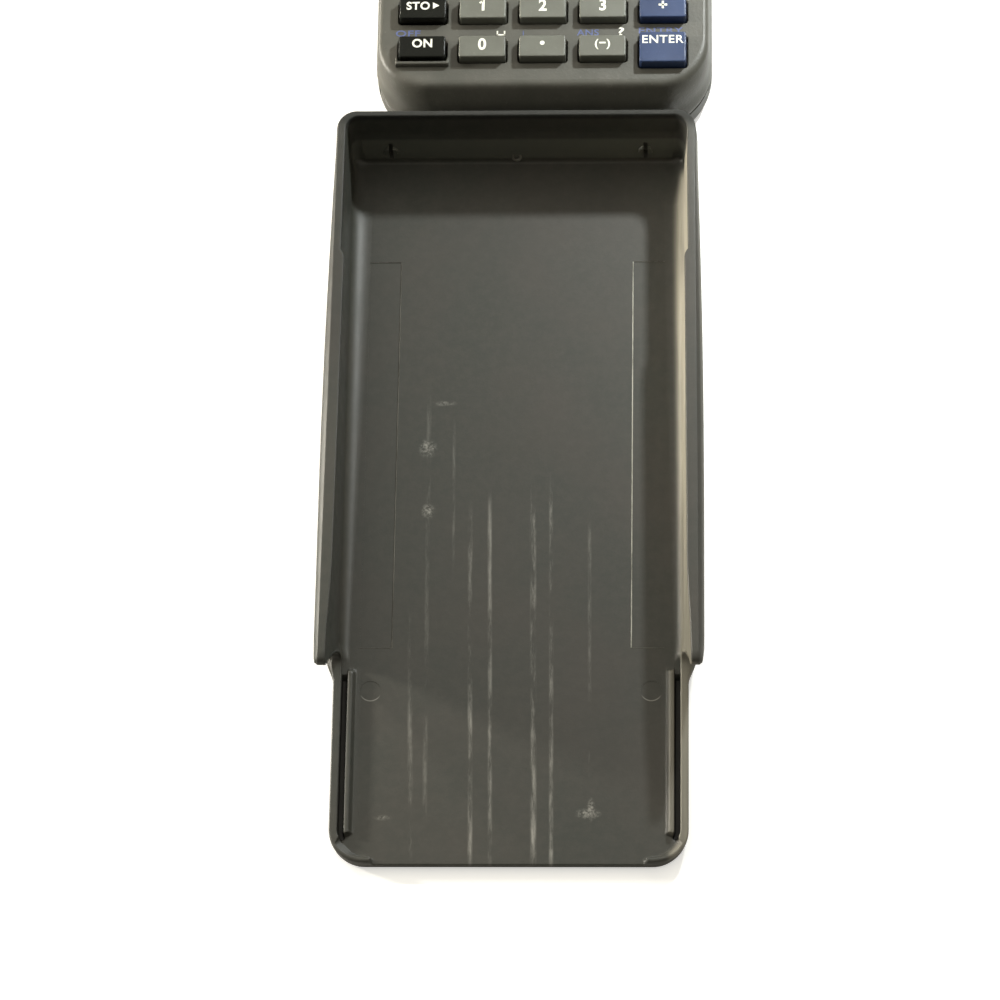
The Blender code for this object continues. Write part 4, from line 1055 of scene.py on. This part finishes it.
def glyphs(text, height, middle, bold, wide, z):
    """Lettering as a thin solid, centred on a place. Height is that of a capital letter."""
    data = bpy.data.curves.new("lettering", "FONT")
    data.body = text
    data.size = 1.0
    data.align_x = "CENTER"
    data.offset = bold
    data.space_character = 1.08
    data.extrude = 0.02
    data.resolution_u = 6
    lettering = collection_link(bpy.data.objects.new("lettering", data))
    bpy.context.view_layer.update()
    bm = as_seen(lettering)
    bpy.data.objects.remove(lettering)
    scale = height / CAPITAL
    bm.transform(
        Matrix.Translation((middle[0], middle[1] - height / 2, z + PRINT / 2))
        @ Matrix.Diagonal((scale * wide, scale, PRINT / 0.04, 1))
    )
    return bm


def bar(x, y, width, length, z, turn=0.0):
    """A flat printed bar, for signs and arrows."""
    bm = block((-width / 2, -length / 2, 0), (width / 2, length / 2, PRINT))
    bm.transform(Matrix.Translation((x, y, z)) @ Matrix.Rotation(math.radians(turn), 4, "Z"))
    return bm


def dot(x, y, radius, z):
    """A flat printed dot."""
    return disc((x, y), radius, z, z + PRINT)


def triangle(x, y, size, z, turn):
    """A flat printed arrow head."""
    bm = bmesh.new()
    bmesh.ops.create_cone(bm, cap_ends=True, segments=3, radius1=size, radius2=size, depth=PRINT)
    bm.transform(Matrix.Translation((x, y, z + PRINT / 2)) @ Matrix.Rotation(math.radians(turn), 4, "Z"))
    return bm


LARGE_LEGENDS = {
    "zero": "0", "two": "2", "three": "3", "four": "4", "five": "5", "six": "6", "seven": "7", "eight": "8",
    "nine": "9", "comma": ",", "bracket_open": "(", "bracket_close": ")", "power": "^", "second": "2nd",
}
SMALL_LEGENDS = {
    "ln": "LN", "log": "LOG", "sine": "SIN", "cosine": "COS", "tangent": "TAN", "math": "MATH", "list": "LIST",
    "program": "PRGM", "variables": "VARS", "clear": "CLEAR", "alpha": "ALPHA", "graph_variable": "X,T",
    "statistics": "STAT", "mode": "MODE", "delete": "DEL",
}
ARROW_TURNS = {"up": 0, "down": 180, "left": 90, "right": -90}


def sign_legend(name, x, y, z):
    """The sign on a key for arithmetic."""
    y -= 0.1
    if name == "add":
        return together(bar(x, y, 2.0, 0.5, z), bar(x, y, 0.5, 2.0, z))
    if name == "subtract":
        return bar(x, y, 2.0, 0.5, z)
    if name == "multiply":
        return together(bar(x, y, 2.2, 0.5, z, 45), bar(x, y, 2.2, 0.5, z, -45))
    return together(bar(x, y, 2.0, 0.45, z), dot(x, y + 0.75, 0.3, z), dot(x, y - 0.75, 0.3, z))


def key_legend(name, x, y):
    """The white legend on a key's top."""
    z = KEY_TOP - 0.035
    y += 0.55
    if name in ARROW_TURNS:
        return triangle(x, y - 0.55, 1.25, z, ARROW_TURNS[name])
    if name in LARGE_LEGENDS:
        return glyphs(LARGE_LEGENDS[name], 2.95, (x, y), 0.026, 0.92, z)
    if name in SMALL_LEGENDS:
        word = SMALL_LEGENDS[name]
        return glyphs(word, 1.55, (x, y), 0.022, 1.1 if len(word) < 5 else 1.0, z)
    if name.startswith("function"):
        return glyphs(f"F{name[-1]}", 1.6, (x, y - 0.45), 0.022, 1.15, z)
    if name == "on":
        return glyphs("ON", 2.15, (x + 0.1, y + 0.3), 0.026, 0.98, z)
    if name == "enter":
        return glyphs("ENTER", 2.1, (x - 0.1, y + 1.45), 0.012, 1.04, z)
    if name == "store":
        return together(glyphs("STO", 2.0, (x - 1.1, y), 0.024, 1.0, z), triangle(x + 2.9, y, 1.0, z, -90))
    if name == "one":
        return together(bar(x + 0.1, y, 0.66, 2.9, z), bar(x - 0.34, y + 0.94, 0.45, 1.05, z, -50))
    if name == "point":
        return dot(x, y + 0.2, 0.55, z)
    if name == "negate":
        return together(
            glyphs("(", 2.0, (x - 1.45, y + 0.1), 0.02, 1.0, z),
            bar(x, y + 0.15, 1.5, 0.42, z),
            glyphs(")", 2.0, (x + 1.45, y + 0.1), 0.02, 1.0, z),
        )
    if name == "square":
        return together(
            glyphs("X", 1.7, (x - 0.45, y), 0.02, 1.15, z), glyphs("2", 1.0, (x + 0.95, y + 0.75), 0.02, 1.15, z)
        )
    if name == "inverse":
        return together(
            glyphs("X", 1.7, (x - 0.75, y), 0.02, 1.15, z),
            bar(x + 0.65, y + 0.75, 0.75, 0.24, z),
            glyphs("1", 1.0, (x + 1.5, y + 0.75), 0.02, 1.15, z),
        )
    return sign_legend(name, x, y, z)


def make_keys():
    """Every key's cap and legend, on the key's own body."""
    colours = {
        "pale": (PALE_KEYS, "pale_key_plastic"),
        "dark": (DARK_KEYS, "dark_key_plastic"),
        "blue": (BLUE_KEYS, "blue_key_plastic"),
    }
    for name, x, y, width, length, finish in key_plan():
        material, slot = colours[finish]
        cap = key_cap(x, y, width, length)
        finished(f"cap_{name}", cap, f"{name}_key", material, CASE_PLACE, [f"key_{name}"], 40)
        legend = key_legend(name, x, y)
        finished(f"legend_{name}", legend, f"{name}_key", WHITE_INK, CASE_PLACE)


# ---------------------------------------------------------------- case


# The chin's slope: (z, how far it lies behind the case's foremost line).
CHIN = (
    (7.0, 0.9), (8.5, 0.5), (12.0, 2.4), (16.0, 4.0), (19.2, 5.4), (20.0, 5.85), (20.6, 6.4), (20.9, 7.0), (21.0, 7.7),
)
SHOULDER_ROUND = 1.4
SHOULDER_STEPS = 9


def shoulder(slope_inset):
    """A sloped side that rounds over into the face, as (z, inset) pairs."""
    lean = math.atan2(slope_inset, FACE - SLOPE_START)
    start_z = FACE - SHOULDER_ROUND * (1 - math.sin(lean))
    start_in = (start_z - SLOPE_START) * math.tan(lean)
    centre = start_in + SHOULDER_ROUND * math.cos(lean)
    pairs = []
    for step in range(SHOULDER_STEPS + 1):
        angle = between(lean, math.pi / 2, step / SHOULDER_STEPS)
        z = FACE - SHOULDER_ROUND * (1 - math.sin(angle))
        pairs.append((z, centre - SHOULDER_ROUND * math.cos(angle)))
    return pairs


def shoulder_inset(pairs, z):
    """The inset of a rounded shoulder at a height."""
    if z <= pairs[0][0]:
        return pairs[0][1] * (z - SLOPE_START) / (pairs[0][0] - SLOPE_START)
    for (z0, in0), (z1, in1) in zip(pairs, pairs[1:]):
        if z <= z1 + 1e-9:
            return between(in0, in1, (z - z0) / max(z1 - z0, 1e-9))
    return pairs[-1][1]


def case_outline(z, side, chin, head):
    """The case's plan at a height. Low down, its corners at the chin are cut back further."""
    chin_corner = between(17.5, 12.0, ease(7.5, 19.0, z))
    return outline(CASE_HALF - side, chin, CASE_LENGTH - head, chin_corner, 12.0 - side / 2, z, 14)


def case_front():
    """The front half: upright at the parting line, sloped, and rounded over into the face."""
    outlines = [case_outline(PARTING + 0.3, 0.25, 1.1, 0.25), case_outline(PARTING + 0.5, 0, 0.75, 0)]
    side = shoulder(0.9)
    head = shoulder(2.9)
    heights = [SLOPE_START + 0.8 * number for number in range(14)] + [z for z, _ in side if z > 19.2]
    for z in heights:
        outlines.append(case_outline(z, shoulder_inset(side, z), smooth_curve(CHIN, z), shoulder_inset(head, z)))
    return stacked(outlines)


def key_hole(x, y, width, length):
    """The slot round a key, its upper edge chamfered."""
    outlines = []
    for z, grow in ((17.0, 0.3), (20.78, 0.3), (21.0, 0.5), (22.0, 1.5)):
        outlines.append(key_outline(x, y, width, length, grow, 0.7 + grow / 2, z, 4))
    return stacked(outlines)


def on_guard():
    """The low wall round the lower side of the on key."""
    _, x, y, width, length, _ = key_plan()[0]
    half = width / 2 + 0.75
    low = y - length / 2 - 0.3
    walls = [block((x - half, low - 0.95, 20.0), (x + half, low - 0.05, 22.5), 0.3, 4)]
    for side in (-1, 1):
        ends = sorted((x + side * half, x + side * (half - 0.5)))
        walls.append(block((ends[0], low - 1.0, 20.0), (ends[1], low + 0.9, 22.3), 0.18, 3))
    return together(*walls)


def make_front():
    """The front shell, hollow, with its openings, and the guard of the on key."""
    holes = together(*[key_hole(x, y, width, length) for _, x, y, width, length, _ in key_plan()])
    cavity = stacked(
        [
            outline(CASE_HALF - 2, 3.6, CASE_LENGTH - 2, 15.5, 10, 4.0),
            outline(CASE_HALF - 2, 3.6, CASE_LENGTH - 2, 15.5, 10, 8.5),
            outline(CASE_HALF - 3.3, 8.2, CASE_LENGTH - 4.6, 10, 8, 18.6),
        ]
    )
    pocket = stacked(
        [
            outline(33.3 + grow, 122.4 - grow, 171.5 + grow, 2.3 + grow, 2.3 + grow, z, 8)
            for z, grow in ((19.7, 0), (20.8, 0), (21.0, 0.2), (22.0, 1.2))
        ]
    )
    opening = stacked([outline(28.5, 127.2, 166.7, 1.0, 1.0, z, 4) for z in (17.0, 24.0)])
    jack_place = Matrix.Translation((0, 0, 10.4)) @ Matrix.Rotation(-math.pi / 2, 4, "X")
    jack = turned([(0, -4), (2.0, -4), (2.0, 9), (0, 9)], jack_place)
    shell = carve(case_front(), [("DIFFERENCE", cut) for cut in (cavity, holes, pocket, opening, jack)])
    finished("case_front", shell, "calculator", CASE_PLASTIC, CASE_PLACE, ["front_shell"], 30)
    finished("on_guard", on_guard(), "calculator", CASE_PLASTIC, CASE_PLACE, (), 30)


def back_outlines():
    """The rear half up to the parting line, its lower edge rounded."""
    outlines = []
    for step in range(9):
        angle = math.radians(90 * step / 8)
        inward = 2.4 * (1 - math.sin(angle))
        outlines.append(case_outline(0.6 + 2.4 * (1 - math.cos(angle)), inward, inward + 0.7 * step / 8, inward))
    outlines.append(case_outline(PARTING - 0.2, 0, 0.7, 0))
    outlines.append(case_outline(PARTING, 0.2, 0.9, 0.2))
    return outlines


def door_section(grow, start, end):
    """The battery door's section, a plate with a tongue along each side, run along the case."""
    half = 30.5 + grow
    top = 2.1 + grow
    tongue_low = 1.4 - grow
    section = (
        (-half, -2.4), (half, -2.4), (half, tongue_low), (half + 1.0, tongue_low),
        (half + 1.0, top), (-half - 1.0, top), (-half - 1.0, tongue_low), (-half, tongue_low),
    )
    return stacked([[Vector((x, y, z)) for x, z in section] for y in (start, end)])


POSTS = [(side * x, y) for x, y in ((30.0, 7.6), (35.2, 115.9), (35.2, 170.0)) for side in (-1, 1)]
FEET = [(side * 28.0, y) for side in (-1, 1) for y in (17.6, 109.5)]
COIN_PLACE = (21.65, 130.7)
BAY_LOW, BAY_HIGH = -30.2, 12.1
BAY_START, BAY_END = 127.3, 174.6
CELL_LENGTH = 44.5
CELL_PITCH = 10.4
CELL_Z = 7.65


def case_screw(x, y):
    """A screw head with a cross in it, deep in its hole."""
    along = block((x - 1.0, y - 0.16, 1.2), (x + 1.0, y + 0.16, 2.4))
    across = block((x - 0.16, y - 1.0, 1.2), (x + 0.16, y + 1.0, 2.4))
    return carve(disc((x, y), 1.5, 1.7, 3.4, 0.2, 32), [("DIFFERENCE", along), ("DIFFERENCE", across)])


def make_rear():
    """The rear shell with side grooves, screw posts, battery bay and coin cup, its feet and its screws."""
    steps = [
        ("DIFFERENCE", stacked([outline(37.0, 3.6, CASE_LENGTH - 2, 14.5, 10, z) for z in (2.4, 10.0)])),
        ("DIFFERENCE", block((-46, -3, 4.9), (-39, CASE_LENGTH + 3, 10))),
        ("DIFFERENCE", block((39, -3, 4.9), (46, CASE_LENGTH + 3, 10))),
    ]
    steps += [("UNION", disc(place, 2.4, 1.5, PARTING, 0, 24)) for place in POSTS]
    steps += [
        ("UNION", block((-33.0, 118.0, 1.5), (33.0, CASE_LENGTH - 1, 3.6))),
        ("UNION", block((BAY_LOW - 1.2, BAY_START - 1.2, 3.0), (BAY_HIGH + 1.2, BAY_END + 1.2, 14.4), 0.4)),
        ("UNION", disc(COIN_PLACE, 8.9, 3.0, 5.5, 0, 48)),
        ("DIFFERENCE", door_section(0.3, DOOR_START - 0.3, CASE_LENGTH + 3)),
        ("DIFFERENCE", block((BAY_LOW, BAY_START, 0.6), (BAY_HIGH, BAY_END, 13.2))),
        ("DIFFERENCE", disc(COIN_PLACE, 8.3, 0.6, 4.3, 0, 48)),
    ]
    for place in POSTS:
        steps.append(("DIFFERENCE", disc(place, 1.7, -2.4, 3.6, 0, 32)))
        steps.append(("DIFFERENCE", disc(place, 0.8, 3.2, 10.0, 0, 16)))
    shell = carve(stacked(back_outlines()), steps)
    finished("case_back", shell, "calculator", CASE_PLASTIC, CASE_PLACE, ["rear_shell"], 30)
    for number, place in enumerate(FEET, 1):
        foot = disc(place, 4.5, 0.0, 1.2, 0.25)
        finished(f"rubber_foot_{number}", foot, "calculator", FOOT_RUBBER, CASE_PLACE)
    for number, place in enumerate(POSTS, 1):
        finished(f"case_screw_{number}", case_screw(*place), "calculator", STEEL, CASE_PLACE)


def make_door():
    """The battery door: the part of the back inside its own section, with thumb ridges."""
    ridges = [("UNION", block((-9, 126 + 1.8 * n, 0.35), (9, 126.9 + 1.8 * n, 1.2), 0.2)) for n in range(6)]
    door = carve(stacked(back_outlines()), [("INTERSECT", door_section(0, DOOR_START, CASE_LENGTH + 3)), *ridges])
    finished("door_panel", door, "door", CASE_PLASTIC, CASE_PLACE, ["battery_door"], 30)


def make_cells():
    """Four cells, every second one turned end for end, with plated ends."""
    start = BAY_END - CELL_LENGTH - 0.8 - 0.3
    jacket_profile = [
        (4.2, 0.0), (4.9, 0.0), (5.2, 0.25), (5.22, 0.6), (5.22, 43.9), (5.2, 44.25), (4.9, 44.5), (4.2, 44.5),
        (4.2, 44.3), (4.2, 0.2), (4.2, 0.0),
    ]
    can_profile = [
        (0, 0.0), (4.1, 0.0), (4.15, 0.15), (4.15, 44.2), (3.9, 44.3), (2.1, 44.3), (1.9, 44.45), (1.85, 45.2),
        (1.7, 45.3), (0, 45.3),
    ]
    middle = (BAY_LOW + BAY_HIGH) / 2
    for number in range(4):
        x = middle + (number - 1.5) * CELL_PITCH
        place = Matrix.Translation((x, start, CELL_Z)) @ Matrix.Rotation(-math.pi / 2, 4, "X")
        if number % 2 == 0:
            place = Matrix.Translation((x, start + CELL_LENGTH, CELL_Z)) @ Matrix.Rotation(math.pi / 2, 4, "X")
        nodes = ["battery_cells"] if number == 0 else ()
        sleeve = turned(jacket_profile, place)
        finished(f"cell_jacket_{number + 1}", sleeve, "calculator", CELL_JACKET, CASE_PLACE, nodes)
        can = turned(can_profile, place)
        finished(f"cell_can_{number + 1}", can, "calculator", CONTACT_METAL, CASE_PLACE)
    coin = disc(COIN_PLACE, 8.0, 2.4, 4.0, 0.25)
    finished("coin_cell", coin, "calculator", COIN_STEEL, CASE_PLACE, ["backup_cell"])


def make_display():
    """The window with its printed border, and the display under it."""
    levels = ((20.0, 0), (20.85, 0), (21.0, 0.15))
    pane = stacked([outline(33.0 - inset, 122.7 + inset, 171.2 - inset, 2.0, 2.0, z, 8) for z, inset in levels])
    finished("window_pane", pane, "calculator", CLEAR_PANE, CASE_PLACE, ["display_window"])
    border = stacked([outline(32.9, 122.8, 171.1, 1.9, 1.9, z, 8) for z in (19.86, 19.94)])
    clear = stacked([outline(28.0, 127.8, 166.1, 1.4, 1.4, z, 6) for z in (19.0, 21.0)])
    border = carve(border, [("DIFFERENCE", clear)])
    finished("window_border", border, "calculator", BORDER_PRINT, CASE_PLACE)
    frame_solid = block((-32.5, 120.1, 14.7), (32.5, 173.8, 18.7), 0.3)
    finished("display_frame", frame_solid, "calculator", BORDER_PRINT, CASE_PLACE)
    glass = block((-28.2, 127.5, 18.6), (28.2, 166.4, 19.6), 0.1)
    finished("display_glass", glass, "calculator", LCD_GLASS, CASE_PLACE, ["lcd_module"])


SECOND_LEGENDS = {
    "on": "OFF", "negate": "ANS", "enter": "ENTRY", "point": "i", "store": "RCL", "one": "L1", "two": "L2",
    "three": "L3", "add": "MEM", "ln": "e", "log": "10", "sine": "sin", "cosine": "cos", "tangent": "tan",
    "four": "L4", "five": "L5", "six": "L6", "subtract": "(", "multiply": ")",
}


def face_prints():
    """Small legends printed on the face above the keys: blue at the left, white at the right."""
    letters = iter("XYZTUVWPQRSOLMNKJGHIFDECBA")
    blue = []
    white = []
    for name, x, y, width, length, _ in key_plan():
        top = y + length / 2 + 2.0
        word = SECOND_LEGENDS.get(name)
        if word:
            place = (x - width / 2 + 0.55 * len(word) + 0.4, top)
            if name == "enter":
                place = (x - 0.6, top - 0.35)
            height = 1.6 if name in ("on", "negate", "enter") else 1.3
            wide = 1.42 if name in ("on", "enter") else 1.15
            blue.append(glyphs(word, height, place, 0.014, wide, FACE))
        if name == "zero":
            for off_x, off_y, w, h in ((0, 0, 2.0, 0.36), (-0.85, 0.45, 0.34, 1.2), (0.85, 0.45, 0.34, 1.2)):
                white.append(bar(x + 4.3 + off_x, top - 0.5 + off_y, w, h, FACE))
        elif name == "negate":
            white.append(glyphs("?", 2.2, (x + 4.3, top + 0.2), 0.014, 1.7, FACE))
        elif name not in ("on", "enter", "point", "store") and y < FUNCTION_ROW - 16:
            white.append(glyphs(next(letters, "A"), 1.3, (x + 4.6, top), 0.014, 1.1, FACE))
    for name, lettering, material in (("face_print_blue", blue, BLUE_INK), ("face_print_white", white, WHITE_INK)):
        finished(name, together(*lettering), "calculator", material, CASE_PLACE)


# ---------------------------------------------------------------- room, light and camera


def make_floor():
    """The pale floor, lifted to white where the camera sees it."""
    f = Finish("floor_paper")
    paper = f.blend(f.spread(f.noise(3, 2.0), 0.3, 0.7), rgb(236, 236, 235), rgb(240, 240, 239))
    lift = f.product(f.node("LightPath").outputs["Is Camera Ray"], 0.54)
    f.set(Base_Color=paper, Roughness=0.8, Emission_Color=paper, Emission_Strength=lift)
    bm = bmesh.new()
    bmesh.ops.create_grid(bm, x_segments=1, y_segments=1, size=3)
    mesh = mesh_of("floor", bm)
    mesh.materials.append(f.material)
    floor = collection_link(bpy.data.objects.new("floor", mesh))
    floor.location.z = -0.0002


def make_world():
    """Soft warm light from all round, stronger from above and behind."""
    world = bpy.data.worlds.new("studio")
    bpy.context.scene.world = world
    world.use_nodes = True
    nodes, links = world.node_tree.nodes, world.node_tree.links
    background = nodes["Background"]
    background.inputs["Color"].default_value = (1.0, 0.94, 0.80, 1)
    direction = nodes.new("ShaderNodeTexCoord")
    upward = nodes.new("ShaderNodeVectorMath")
    upward.operation = "DOT_PRODUCT"
    upward.inputs[1].default_value = (0.0, 0.55, 0.83)
    level = nodes.new("ShaderNodeMapRange")
    for key, value in (("From Min", -0.1), ("From Max", 1.0), ("To Min", 0.11), ("To Max", 0.87)):
        level.inputs[key].default_value = value
    links.new(direction.outputs["Generated"], upward.inputs[0])
    links.new(upward.outputs["Value"], level.inputs["Value"])
    links.new(level.outputs["Result"], background.inputs["Strength"])


def lamp(name, place, size, power, colour):
    """A round soft lamp at a place, in metres, that shines at the middle of the object."""
    data = bpy.data.lights.new(name, "AREA")
    data.shape = "DISK"
    data.size = size
    data.energy = power
    data.color = colour
    light = collection_link(bpy.data.objects.new(name, data))
    light.location = place
    light.rotation_euler = (Vector(place) - Vector((0, -0.06, 0))).to_track_quat("Z", "Y").to_euler()


def make_lights():
    """A near lamp over the head, two low ones from the left and a large soft one far behind."""
    lamp("key_lamp", (0.1246, 0.1446, 0.18), 0.018, 0.87, (0.96, 1.0, 0.98))
    lamp("low_lamp", (-0.405, 0.193, 0.103), 0.05, 1.5, (1.0, 0.93, 0.78))
    lamp("side_lamp", (-0.537, 0.024, 0.137), 0.06, 3.8, (1.0, 0.95, 0.85))
    lamp("ceiling_lamp", (-0.54, 1.05, 1.2), 0.7, 2.0, (1.0, 0.93, 0.80))


def make_camera():
    """The camera at the photograph's place, as fitted to it."""
    data = bpy.data.cameras.new("camera")
    focal_pixels, frame_pixels = 5122.7, 1000
    data.sensor_width = 36
    data.lens = focal_pixels * 36 / frame_pixels
    data.clip_start = 0.05
    camera = collection_link(bpy.data.objects.new("camera", data))
    camera.location = (0.04461, -0.58072, 1.07771)
    camera.rotation_euler = (0.4270, 0.0385, 0.0150)
    bpy.context.scene.camera = camera


make_camera()
make_floor()
make_world()
make_lights()
make_cover()
make_keys()
make_front()
make_rear()
make_door()
make_cells()
make_display()
face_prints()
for node, material in (("keypad_mat", MAT_RUBBER), ("main_board", BOARD)):
    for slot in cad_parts[node].material_slots:
        slot.material = material
bpy.context.scene.view_settings.view_transform = "Standard"
